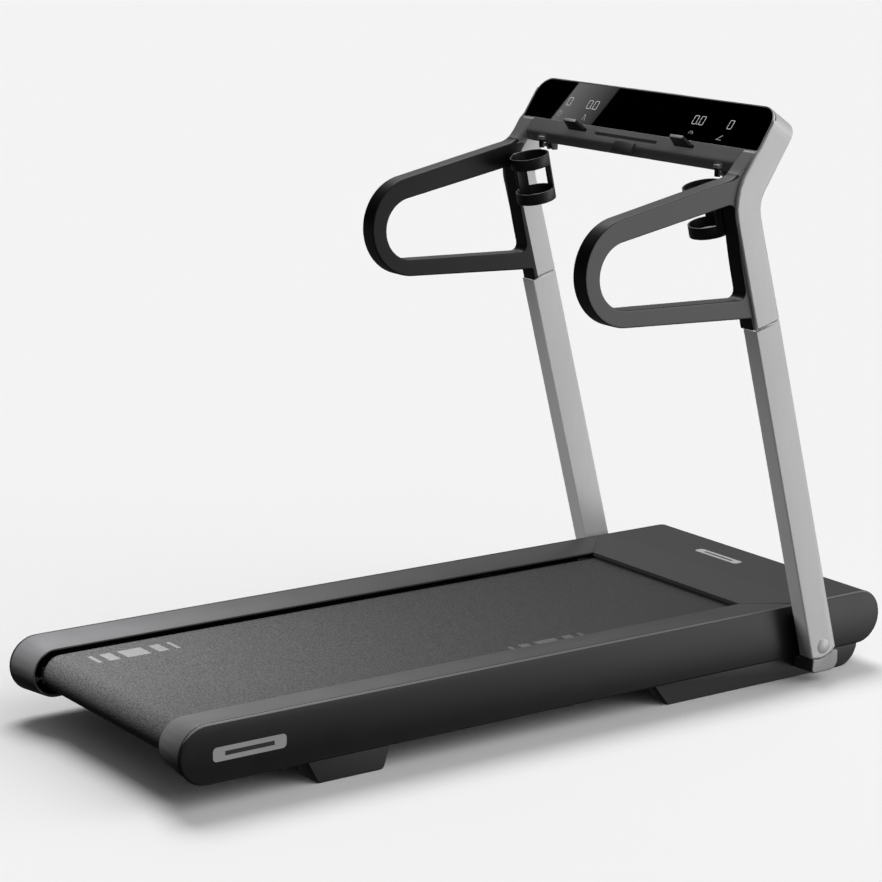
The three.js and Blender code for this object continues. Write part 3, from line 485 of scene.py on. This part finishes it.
def node_outlines(name):
    """Loops of (y, z) where a node's side wall starts: the outer outline first, then its openings."""
    work = bmesh.new()
    work.from_mesh(NODES[name].data)
    bmesh.ops.remove_doubles(work, verts=work.verts, dist=0.00001)
    low = min(v.co.x for v in work.verts)
    levels = {round(v.co.x, 5) for v in work.verts}
    level = min(x for x in levels if x > low + EDGE_DEPTH)
    near = {}
    for edge in work.edges:
        a, b = edge.verts
        if abs(a.co.x - level) < 0.0001 and abs(b.co.x - level) < 0.0001:
            near.setdefault(a.index, []).append(b.index)
            near.setdefault(b.index, []).append(a.index)
    work.verts.ensure_lookup_table()
    loops = []
    left = set(near)
    while left:
        start = min(left)
        loop = [start]
        left.discard(start)
        step = start
        while True:
            onward = [k for k in near[step] if k in left]
            if not onward:
                break
            step = onward[0]
            left.discard(step)
            loop.append(step)
        loops.append([(work.verts[k].co.y, work.verts[k].co.z) for k in loop])
    work.free()

    def area(loop):
        return 0.5 * sum(a[0] * b[1] - b[0] * a[1] for a, b in zip(loop, loop[1:] + loop[:1]))

    loops = [loop if area(loop) > 0 else loop[::-1] for loop in loops]
    return sorted(loops, key=area, reverse=True)


def turn_at(loop, k):
    a, b, c = (Vector(loop[(k + j) % len(loop)]) for j in (-1, 0, 1))
    return (b - a).angle_signed(c - b, 0.0)


CORNER = math.radians(26)   # a sharper turn than this is a real corner
LONG = 3                    # a side this many times its neighbour is a straight that an arc runs into


def smooth_loop(loop, step):
    """Even, finely spaced copy of a loop: arcs become smooth curves, real corners stay."""
    count = len(loop)
    points = [Vector(p) for p in loop]
    sharp = [abs(turn_at(loop, k)) > CORNER for k in range(count)]
    made = []
    for k in range(count):
        p0, p1, p2, p3 = (points[(k + j) % count] for j in (-1, 0, 1, 2))
        length = (p2 - p1).length
        before, after = (p1 - p0).length, (p3 - p2).length
        t1 = (p2 - p1) / length if sharp[k] else direction(p0, p1, p2)
        t2 = (p2 - p1) / length if sharp[(k + 1) % count] else direction(p1, p2, p3)
        if before > LONG * length and not sharp[k]:
            t1 = (p1 - p0) / before
        if length > LONG * before and not sharp[k]:
            t1 = (p2 - p1) / length
        if after > LONG * length and not sharp[(k + 1) % count]:
            t2 = (p3 - p2) / after
        if length > LONG * after and not sharp[(k + 1) % count]:
            t2 = (p2 - p1) / length
        pieces = max(1, round(length / step))
        for j in range(pieces):
            s = j / pieces
            h1, h2 = 2 * s ** 3 - 3 * s ** 2 + 1, s ** 3 - 2 * s ** 2 + s
            h3, h4 = -2 * s ** 3 + 3 * s ** 2, s ** 3 - s ** 2
            made.append(h1 * p1 + h2 * length * t1 + h3 * p2 + h4 * length * t2)
    return made


def direction(a, b, c):
    """Tangent at b of the circle through a, b and c."""
    first, second = b - a, c - b
    mixed = first.normalized() * second.length + second.normalized() * first.length
    return mixed.normalized()


def rounded_slab(loops, x0, x1, radius_at, rings=7):
    """Slab between x0 and x1 with soft edges. The first loop is the outline, the others are openings."""
    verts, faces = [], []
    flat_low, flat_high = [], []
    for number, loop in enumerate(loops):
        count = len(loop)
        inwards = []
        for k in range(count):
            along = direction(loop[k - 1], loop[k], loop[(k + 1) % count])
            normal = Vector((-along.y, along.x))
            inwards.append(normal if number == 0 else -normal)
        strips = []
        for side in (0, 1):
            for ring in range(rings + 1):
                angle = math.radians(90) * ring / rings
                if side == 1:
                    angle = math.radians(90) - angle
                strip = []
                for k in range(count):
                    radius = radius_at(loop[k])
                    inset = radius * (1 - math.sin(angle))
                    rise = radius * (1 - math.cos(angle))
                    y, z = loop[k] + inwards[k] * inset
                    strip.append(len(verts))
                    verts.append((x0 + rise if side == 0 else x1 - rise, y, z))
                strips.append(strip)
        for lower, upper in zip(strips, strips[1:]):
            for k in range(count):
                j = (k + 1) % count
                faces.append((lower[k], lower[j], upper[j], upper[k]))
        flat_low.append(strips[0])
        flat_high.append(strips[-1])
    for rims in (flat_low, flat_high):
        outlines = []
        index = []
        for number, rim in enumerate(rims):
            order = rim if number == 0 else rim[::-1]
            outlines.append([Vector((verts[k][1], verts[k][2], 0)) for k in order])
            index.extend(order)
        for triangle in tessellate_polygon(outlines):
            faces.append(tuple(index[k] for k in triangle))
    return verts, faces


# ---------------------------------------------------------------- handles


def smoothstep(low, high, value):
    t = min(1.0, max(0.0, (value - low) / (high - low)))
    return t * t * (3 - 2 * t)


GRIP_EDGE = 0.0135          # soft edge of the loop
LEG_EDGE = 0.0035           # edge where the handle is let into the upright
LEG_REAR = Vector((0.4397, 0.784))         # two points (y, z) on the rear line of the upright
LEG_FRONT = Vector((0.3802, 0.9955))
HANDLE_STEP = 0.006
TRIM_REACH = 0.0008         # the satin trim covers the outer face and the start of its rounding
SHOULDER = {"y": 0.385, "z": 1.095}        # from here the handle top takes the ledge's grey


def make_handle(side):
    name = f"handle_{side}"
    low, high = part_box(name)
    loops = [smooth_loop(loop, HANDLE_STEP) for loop in node_outlines(name)]
    along = (LEG_FRONT - LEG_REAR).normalized()

    def radius_at(point):
        across = (point - LEG_REAR).cross(along)
        away = smoothstep(-0.004, 0.05, across) * (1 - smoothstep(1.085, 1.125, point.y))
        return LEG_EDGE + (GRIP_EDGE - LEG_EDGE) * away

    verts, faces = rounded_slab(loops, low.x, high.x, radius_at)
    piece = add_piece(f"{name}_cover", verts, faces, GRIP, "deck")
    piece.data.materials.append(TRIM)
    piece.data.materials.append(LEDGE)
    outside = high.x if side == "right" else low.x
    for face in piece.data.polygons:
        if abs(face.center.x - outside) < TRIM_REACH:
            face.material_index = 1
        elif face.center.y > SHOULDER["y"] and face.center.z > SHOULDER["z"]:
            face.material_index = 2
    piece.modifiers.new("even_shading", "WEIGHTED_NORMAL")
    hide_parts(name)


for side in ("right", "left"):
    make_handle(side)

# ---------------------------------------------------------------- motor hood
HOOD_COLUMNS, DISH_ROWS, FLAT_ROWS, NOSE_ROWS = 168, 60, 13, 48
EASE = 0.08                 # share of the dish's slope that rounds into the flat top


def make_hood():
    """The hood in one fine sheet: a shallow dish leads down to the belt, and the nose rolls under."""
    low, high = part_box("motor_hood")
    half = high.x
    inner_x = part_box("foot_rail_right")[0].x
    opening_y = low.y
    dish_y = 0.68
    nose_radius = (high.z - low.z) / 2
    nose_z = (high.z + low.z) / 2
    nose_y = high.y - nose_radius
    dish_depth, dish_width, corner = 0.0082, half - inner_x, 0.06
    wall = 0.0035

    def top(x, y):
        from_side = half - abs(x)
        from_front = (dish_y - y) * dish_width / (dish_y - opening_y)
        inside = min(from_side, from_front)
        if from_side < corner and from_front < corner:
            inside = corner - math.hypot(corner - from_side, corner - from_front)
        share = min(1.0, max(0.0, inside / dish_width))
        soft = share * share / (2 * EASE) if share < EASE else share - EASE / 2
        return nose_z + nose_radius - dish_depth * min(1.0, soft / (1 - EASE / 2))

    def grid(offset, lip):
        columns = [half * (2 * k / HOOD_COLUMNS - 1) for k in range(HOOD_COLUMNS + 1)]
        rows = []
        for r in range(DISH_ROWS + 1):
            share = r / DISH_ROWS
            line = []
            for x in columns:
                start = opening_y + max(0.0, abs(x) - inner_x)
                y = start + (dish_y - start) * share
                line.append((x, y, top(x, y) - (lip if r == 0 else offset)))
            rows.append(line)
        for r in range(1, FLAT_ROWS):
            y = dish_y + (nose_y - dish_y) * r / FLAT_ROWS
            rows.append([(x, y, top(x, y) - offset) for x in columns])
        for r in range(NOSE_ROWS + 1):
            angle = math.radians(90 - 180 * r / NOSE_ROWS)
            reach = nose_radius - offset
            y, z = nose_y + reach * math.cos(angle), nose_z + reach * math.sin(angle)
            rows.append([(x, y, z) for x in columns])
        return rows

    outer, inner = grid(0.0, 0.0), grid(wall, 0.008)
    window_low, window_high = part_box("power_panel")
    verts = [p for row in outer for p in row] + [p for row in inner for p in row]
    width, size = len(outer[0]), len(outer) * len(outer[0])
    faces = []
    for r in range(len(outer) - 1):
        for c in range(width - 1):
            a = r * width + c
            quad = (a, a + 1, a + width + 1, a + width)
            middle = sum((Vector(verts[k]) for k in quad), Vector()) / 4
            in_window = (window_low.x - 0.002 < middle.x < window_high.x + 0.002
                         and window_low.z - 0.001 < middle.z < window_high.z + 0.001
                         and middle.y > nose_y + 0.02)
            if not in_window:
                faces.append(quad)
                faces.append(tuple(k + size for k in reversed(quad)))
    used = dict.fromkeys(pair for quad in faces for pair in zip(quad, quad[1:] + quad[:1]))
    for a, b in used:
        if (b, a) not in used and a < size:
            faces.append((b, a, a + size, b + size))
    piece = add_piece("motor_hood_cover", verts, faces, HOOD, "deck")
    crease = piece.modifiers.new("creases", "EDGE_SPLIT")
    crease.split_angle = math.radians(40)
    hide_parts("motor_hood")


make_hood()

# ---------------------------------------------------------------- console ledge
GLASS_TILT = math.radians(33)
GLASS_FOOT = Vector((0.0, 0.4305, 1.151))
GLASS_UP = Vector((0.0, math.sin(GLASS_TILT), math.cos(GLASS_TILT)))
GLASS_OUT = Vector((0.0, -math.cos(GLASS_TILT), math.sin(GLASS_TILT)))
GROOVE = {"x": (-0.12, 0.086), "up": (-0.021, -0.013), "depth": 0.0045, "wall": 0.0006}
GROOVE_FLOOR = (2, 3)                   # places in the profile that sink inside the groove
RECESS_END = (0.314, 0.336)             # the recess under the lip rounds off between these |x|
FILLED = (Vector((-0.0385, 0.0012)), Vector((-0.0503, -0.0118)))   # underside where the recess is filled
LEDGE_COLUMNS, END_COLUMNS = 120, 10


def fillet(points, steps=6):
    """Polyline with arcs at the points that carry a radius."""
    made = []
    for k, (a, b, radius) in enumerate(points):
        corner = Vector((a, b))
        if not radius:
            made.append(corner)
            continue
        before = (Vector(points[k - 1][:2]) - corner).normalized()
        after = (Vector(points[(k + 1) % len(points)][:2]) - corner).normalized()
        half = before.angle(after) / 2
        centre = corner + (before + after).normalized() * (radius / math.sin(half))
        start = corner + before * (radius / math.tan(half)) - centre
        sweep = start.angle_signed(corner + after * (radius / math.tan(half)) - centre)
        for j in range(steps + 1):
            angle = -sweep * j / steps
            c, t = math.cos(angle), math.sin(angle)
            made.append(centre + Vector((start.x * c - start.y * t, start.x * t + start.y * c)))
    return made


def make_ledge():
    """Tray under the glass: a long groove with its floor painted black as painted shade, a full rounded lip
    and a recess below the lip.
    """
    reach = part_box("console_ledge")[1].x
    groove_low, groove_top = GROOVE["up"]
    top = [(-0.0014, 0.0), (groove_top, 0.0015), (groove_top - 0.0004, 0.0015),
           (groove_low + 0.0004, 0.0026), (groove_low, 0.0026)]
    lip = fillet([(-0.0266, 0.0034, 0.0), (-0.0366, 0.0034, 0.0062), (-0.0393, -0.0008, 0.0026),
                  (-0.0359, -0.0072, 0.002), (-0.0468, -0.0179, 0.002), (-0.0465, -0.022, 0.0)])
    back = [(-0.022, -0.038), (-0.0014, -0.0316)]
    profile = [Vector(p) for p in top] + lip + [Vector(p) for p in back]
    nose = max(range(len(top), len(top) + 12), key=lambda k: -profile[k].x + profile[k].y)
    recess = range(nose + 3, len(profile) - 3)

    x0, x1 = GROOVE["x"]
    steps = [-reach + 2 * reach * k / LEDGE_COLUMNS for k in range(LEDGE_COLUMNS + 1)]
    steps += [x0 - GROOVE["wall"], x0, x1, x1 + GROOVE["wall"]]
    start, end = RECESS_END
    tight = [start + (end - start) * k / END_COLUMNS for k in range(END_COLUMNS + 1)]
    steps += tight + [-x for x in tight]
    columns = []
    for x in sorted(set(round(x, 5) for x in steps)):
        share = min(1.0, max(0.0, (abs(x) - start) / (end - start)))
        fill = 1 - math.sqrt(max(0.0, 1 - share * share))
        line = []
        for k, point in enumerate(profile):
            up, out = point
            if k in GROOVE_FLOOR and x0 - 0.0001 <= x <= x1 + 0.0001:
                out -= GROOVE["depth"]
            if k in recess:
                along = (k - recess.start) / (recess.stop - 1 - recess.start)
                target = FILLED[0].lerp(FILLED[1], along)
                up, out = Vector((up, out)).lerp(target, fill)
            line.append(Vector((x, 0, 0)) + GLASS_FOOT + GLASS_UP * up + GLASS_OUT * out)
        columns.append(line)
    count = len(profile)
    verts = [p for line in columns for p in line]
    faces, dark = [], []
    for c in range(len(columns) - 1):
        for k in range(count):
            j = (k + 1) % count
            faces.append((c * count + k, c * count + j, (c + 1) * count + j, (c + 1) * count + k))
            # painted shade: the groove's floor faces get the black material
            dark.append(k == GROOVE_FLOOR[0] and x0 <= columns[c][0].x < x1)
    faces.append(tuple(range(count)))
    faces.append(tuple(range((len(columns) - 1) * count, len(columns) * count)))
    piece = add_piece("console_ledge_cover", verts, faces, LEDGE, "deck")
    piece.data.materials.append(BLACK)
    for face, is_dark in zip(piece.data.polygons, dark):
        face.material_index = 1 if is_dark else 0
    crease = piece.modifiers.new("creases", "EDGE_SPLIT")
    crease.split_angle = math.radians(38)
    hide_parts("console_ledge")


make_ledge()

# ---------------------------------------------------------------- display


def on_glass(across, up, out=0.0001):
    return GLASS_FOOT + Vector((across, 0, 0)) + GLASS_UP * up + GLASS_OUT * out


def bars_to_mesh(name, polygons, material, thickness=0.00025, place=on_glass):
    """Thin raised plates on the glass, or on the face that place() describes.

    A polygon is a list of (across, up) on that face.
    """
    verts, faces = [], []
    for polygon in polygons:
        start = len(verts)
        count = len(polygon)
        verts += [place(u, v, -0.0001) for u, v in polygon]
        verts += [place(u, v, thickness) for u, v in polygon]
        faces.append(tuple(range(start + count - 1, start - 1, -1)))
        faces.append(tuple(range(start + count, start + 2 * count)))
        faces += [(start + k, start + (k + 1) % count, start + count + (k + 1) % count, start + count + k)
                  for k in range(count)]
    return add_piece(name, verts, faces, material, "deck", smooth=False)


def zero(u, v, width=0.0122, height=0.0205, stroke=0.0011, lean=0.10):
    """The six outer segments of a seven-segment digit, as slim hexagons."""
    def place(a, b):
        return (u + a + lean * b, v + b)

    half, gap = stroke / 2, stroke * 0.35

    def upright(a, low, high):
        return [place(a - half, low + half), place(a, low), place(a + half, low + half),
                place(a + half, high - half), place(a, high), place(a - half, high - half)]

    def level(b, left, right):
        return [place(left + half, b - half), place(right - half, b - half), place(right, b),
                place(right - half, b + half), place(left + half, b + half), place(left, b)]

    middle = height / 2
    return [
        level(half, gap, width - gap), level(height - half, gap, width - gap),
        upright(0, gap + half, middle - gap), upright(0, middle + gap, height - gap - half),
        upright(width, gap + half, middle - gap), upright(width, middle + gap, height - gap - half)]


def dot(u, v, radius=0.0011, sides=10):
    return [(u + radius * math.cos(2 * math.pi * k / sides), v + radius * math.sin(2 * math.pi * k / sides))
            for k in range(sides)]


def ring(u, v, radius, stroke, end=360.0, steps=20):
    parts = []
    for k in range(steps):
        a0 = math.radians(end * k / steps)
        a1 = math.radians(end * (k + 1) / steps)
        parts.append([(u + r * math.cos(a), v + r * math.sin(a)) for r, a in (
            (radius - stroke, a0), (radius, a0), (radius, a1), (radius - stroke, a1))])
    return parts


def zero_point_zero(u, v):
    """Two digits with the decimal point between them."""
    return [*zero(u, v), dot(u + 0.017, v + 0.001), *zero(u + 0.021, v)]


def make_display():
    numbers = [*zero(-0.2615, 0.0385), *zero_point_zero(-0.1915, 0.0375),
               *zero_point_zero(0.1585, 0.0375), *zero(0.2675, 0.0375)]
    bars_to_mesh("display_numbers", numbers, LIT)
    stroke, dial = 0.0006, 0.0068
    icons = [
        *ring(-0.2690, 0.018, dial, stroke),
        [(-0.2694, 0.018), (-0.2686, 0.018), (-0.2686, 0.0225), (-0.2694, 0.0225)],
        [(-0.1860, 0.009), (-0.1850, 0.009), (-0.1820, 0.0235), (-0.1830, 0.0235)],
        [(-0.1780, 0.009), (-0.1770, 0.009), (-0.1800, 0.0235), (-0.1810, 0.0235)],
        *ring(0.1700, 0.015, dial, stroke, 180.0),
        [(0.1697, 0.015), (0.1703, 0.015), (0.1738, 0.0198), (0.1732, 0.0202)],
        [(0.2520, 0.0105), (0.2680, 0.0105), (0.2680, 0.0114), (0.2520, 0.0114)],
        [(0.2520, 0.0105), (0.2530, 0.0105), (0.2680, 0.0215), (0.2670, 0.0225)]]
    bars_to_mesh("display_icons", icons, DIM, 0.0002)


make_display()

# ---------------------------------------------------------------- badges
BADGE_MARGIN = 0.0055
SIDE_BADGE = (-0.812, -0.652, 0.0905, 0.1185)     # y and z on the right side panel
HOOD_BADGE = (-0.115, 0.025, 0.74, 0.765)         # x and y on the hood


def plate(u0, u1, v0, v1):
    """Outline of a plate with rounded corners."""
    radius = (v1 - v0) * 0.3
    corners = [(u1 - radius, v1 - radius, 0), (u0 + radius, v1 - radius, 90),
               (u0 + radius, v0 + radius, 180), (u1 - radius, v0 + radius, 270)]
    outline = []
    for u, v, start in corners:
        for k in range(6):
            angle = math.radians(start + 18 * k)
            outline.append((u + radius * math.cos(angle), v + radius * math.sin(angle)))
    return outline


def blank_bar(u0, u1, v0, v1):
    """A blank bar in the middle of a plate."""
    length = u1 - u0 - 2 * BADGE_MARGIN
    left = u0 + BADGE_MARGIN + 0.14 * length
    right = u0 + BADGE_MARGIN + 0.86 * length
    half = (v1 - v0 - 2 * BADGE_MARGIN) / 4
    middle = (v0 + v1) / 2
    return [(left, middle - half), (right, middle - half), (right, middle + half), (left, middle + half)]


def make_badges():
    """Plain badges without a mark: a pale plate with one dark bar."""
    side_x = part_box("side_panel_right")[1].x
    hood_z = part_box("motor_hood")[1].z

    def on_side(u, v, out):
        return Vector((side_x + out, u, v))

    def on_hood(u, v, out):
        return Vector((u, v, hood_z + out))

    for name, place, extent in (("side_badge", on_side, SIDE_BADGE), ("hood_badge", on_hood, HOOD_BADGE)):
        bars_to_mesh(name, [plate(*extent)], BADGE, 0.0003, place)
        bars_to_mesh(f"{name}_bars", [blank_bar(*extent)], BLACK, 0.0005, place)


make_badges()

# ---------------------------------------------------------------- studio
LIGHT_GAIN = 0.85
HORIZON_LIGHT = 0.33
SKY_LIGHT = 1.2
GROUND_LIGHT = 0.08
SIDE_LIGHT = 2.6
NOSE_LIGHT = 2.2
REAR_SHADE = 0.45           # the studio is darker behind the runner
BACKDROP = 1.12
BRIGHT_SIDE = Vector((0.62, 0.72, 0.25)).normalized()
NOSE_SIDE = Vector((0.62, 0.75, -0.25)).normalized()    # a low card that the nose of the side panel mirrors
DARK_SIDE = Vector((-0.475, -0.443, 0.760))             # a black flag over the runner's left shoulder
BEHIND = Vector((0.0, -1.0, 0.0))
KEY_LIGHT = {"toward": (-0.6, 0.3, 1.0), "strength": 2.0, "angle": 32.0}
TALL = 0.25                 # pieces above this height throw no shadow from the key light
REAR_LIGHT = {"place": (-0.35, -1.0, 0.95), "size": (0.9, 0.5), "power": 62.0}
FLOOR_SIZE = 300
FLOOR_WHITE = 0.881
# The band that the card shows on the glass, its slant, and how far off and how bright the card is.
CARD = {"across": (-0.272, -0.132), "up": (-0.03, 0.13), "pivot": 0.048, "slant": 0.333,
        "reach": 2.0, "columns": 9, "glow": (1.8, 0.45)}


def make_world():
    """Soft light from above, little from below, a brighter right side, and a black flag for the glass."""
    world = bpy.data.worlds.new("studio_light")
    world.use_nodes = True
    g = Graph(world.node_tree)
    direction = g.node("ShaderNodeTexCoord").outputs["Generated"]
    height = g.split(direction)["Z"]

    def facing(toward, low, high):
        dot = g.node("ShaderNodeVectorMath", operation="DOT_PRODUCT")
        g.link(direction, dot.inputs[0])
        dot.inputs[1].default_value = toward
        return g.soft_remap(dot.outputs["Value"], low, high)

    below = g.math("MULTIPLY", g.soft_remap(height, -0.6, 0.05), HORIZON_LIGHT - GROUND_LIGHT)
    above = g.math("MULTIPLY", g.soft_remap(height, 0.05, 0.6), SKY_LIGHT - HORIZON_LIGHT)
    light = g.math("ADD", g.math("ADD", below, above), GROUND_LIGHT)
    light = g.math("ADD", light, g.math("MULTIPLY", facing(BRIGHT_SIDE, 0.7, 0.98), SIDE_LIGHT))
    light = g.math("ADD", light, g.math("MULTIPLY", facing(NOSE_SIDE, 0.975, 0.998), NOSE_LIGHT))
    light = g.math("MULTIPLY", light, g.math("SUBTRACT", 1.0, facing(DARK_SIDE, 0.45, 0.72)))
    behind = g.math("MULTIPLY", facing(BEHIND, 0.1, 0.75), REAR_SHADE)
    light = g.math("MULTIPLY", light, g.math("SUBTRACT", 1.0, behind))
    light = g.math("MULTIPLY", light, LIGHT_GAIN)
    seen = g.node("ShaderNodeLightPath").outputs["Is Camera Ray"]
    background = g.node("ShaderNodeBackground")
    choice = g.node("ShaderNodeMix", data_type="FLOAT")
    g.link(seen, choice.inputs["Factor"])
    g.link(light, choice.inputs["A"])
    choice.inputs["B"].default_value = BACKDROP
    g.link(choice.outputs["Result"], background.inputs["Strength"])
    output = g.node("ShaderNodeOutputWorld")
    g.link(background.outputs[0], output.inputs["Surface"])
    scene.world = world


def make_floor():
    """Pale floor that shows shadows but throws no light back up."""
    bpy.ops.mesh.primitive_plane_add(size=FLOOR_SIZE, location=(0, 0, 0))
    floor = bpy.context.object
    floor.name = "studio_floor"
    g = Surface("floor_material")
    g.set(Base_Color=grey(FLOOR_WHITE), Roughness=g.remap(g.noise(2.0, 2.0), 0.3, 0.7, 0.88, 0.95),
          Specular_IOR_Level=0.0)
    floor.data.materials.append(g.material)
    for ray in ("diffuse", "glossy", "shadow"):
        setattr(floor, f"visible_{ray}", False)
    return floor


def top_of(piece):
    return max((piece.matrix_world @ Vector(corner)).z for corner in piece.bound_box)


def make_key_light():
    """A wide sun for the shadow under the deck; the tall pieces don't shade the floor with it."""
    light = bpy.data.lights.new("key_light", "SUN")
    light.energy = KEY_LIGHT["strength"]
    light.angle = math.radians(KEY_LIGHT["angle"])
    sun = bpy.data.objects.new("key_light", light)
    sun.rotation_mode = "QUATERNION"
    sun.rotation_quaternion = Vector(KEY_LIGHT["toward"]).to_track_quat("Z", "Y")
    scene.collection.objects.link(sun)
    spared = bpy.data.collections.new("casts_no_key_shadow")
    sun.light_linking.blocker_collection = spared
    shown = [piece for piece in scene.objects if piece.type == "MESH" and not piece.hide_render]
    for piece in shown:
        if top_of(piece) > TALL:
            spared.objects.link(piece)
    for member in spared.collection_objects:
        member.light_linking.link_state = "EXCLUDE"


def make_rear_light(floor):
    """A lamp over the rear end that lights the treadmill and leaves the floor alone."""
    light = bpy.data.lights.new("rear_light", "AREA")
    light.shape = "RECTANGLE"
    light.size, light.size_y = REAR_LIGHT["size"]
    light.energy = REAR_LIGHT["power"]
    lamp = bpy.data.objects.new("rear_light", light)
    lamp.location = REAR_LIGHT["place"]
    lamp.rotation_mode = "QUATERNION"
    lamp.rotation_quaternion = Vector((0, 0, 1)).to_track_quat("Z", "Y")
    lamp.visible_camera = False
    lamp.visible_glossy = False
    scene.collection.objects.link(lamp)
    spared = bpy.data.collections.new("not_lit_by_rear_light")
    spared.objects.link(floor)
    lamp.light_linking.receiver_collection = spared
    spared.collection_objects[0].light_linking.link_state = "EXCLUDE"


def make_reflection_card():
    """A lit card to the left, seen only as a slanted soft band in the display glass."""
    left, right = CARD["across"]
    bright, faint = CARD["glow"]
    shares = [k / (CARD["columns"] - 1) for k in range(CARD["columns"])]
    verts, glow = [], []
    for share in shares:
        for up in CARD["up"]:
            across = left + (right - left) * share + (up - CARD["pivot"]) * CARD["slant"]
            spot = on_glass(across, up)
            ray = (spot - CAMERA_PLACE).normalized()
            verts.append(spot + (ray - 2 * ray.dot(GLASS_OUT) * GLASS_OUT) * CARD["reach"])
            glow.append(bright + (faint - bright) * share)
    mesh = bpy.data.meshes.new("reflection_card")
    mesh.from_pydata(verts, [], [(2 * k, 2 * k + 2, 2 * k + 3, 2 * k + 1) for k in range(len(shares) - 1)])
    mesh.attributes.new("glow", "FLOAT", "POINT").data.foreach_set("value", glow)
    material = bpy.data.materials.new("card_material")
    material.use_nodes = True
    g = Graph(material.node_tree)
    lamp = g.node("ShaderNodeEmission")
    g.link(g.node("ShaderNodeAttribute", attribute_name="glow").outputs["Fac"], lamp.inputs["Strength"])
    g.link(lamp.outputs[0], g.node("ShaderNodeOutputMaterial").inputs["Surface"])
    mesh.materials.append(material)
    card = bpy.data.objects.new("reflection_card", mesh)
    scene.collection.objects.link(card)
    for ray in ("camera", "diffuse", "shadow"):
        setattr(card, f"visible_{ray}", False)


make_world()
make_key_light()
make_rear_light(make_floor())
make_reflection_card()

scene.view_settings.view_transform = "Standard"
scene.view_settings.look = "None"
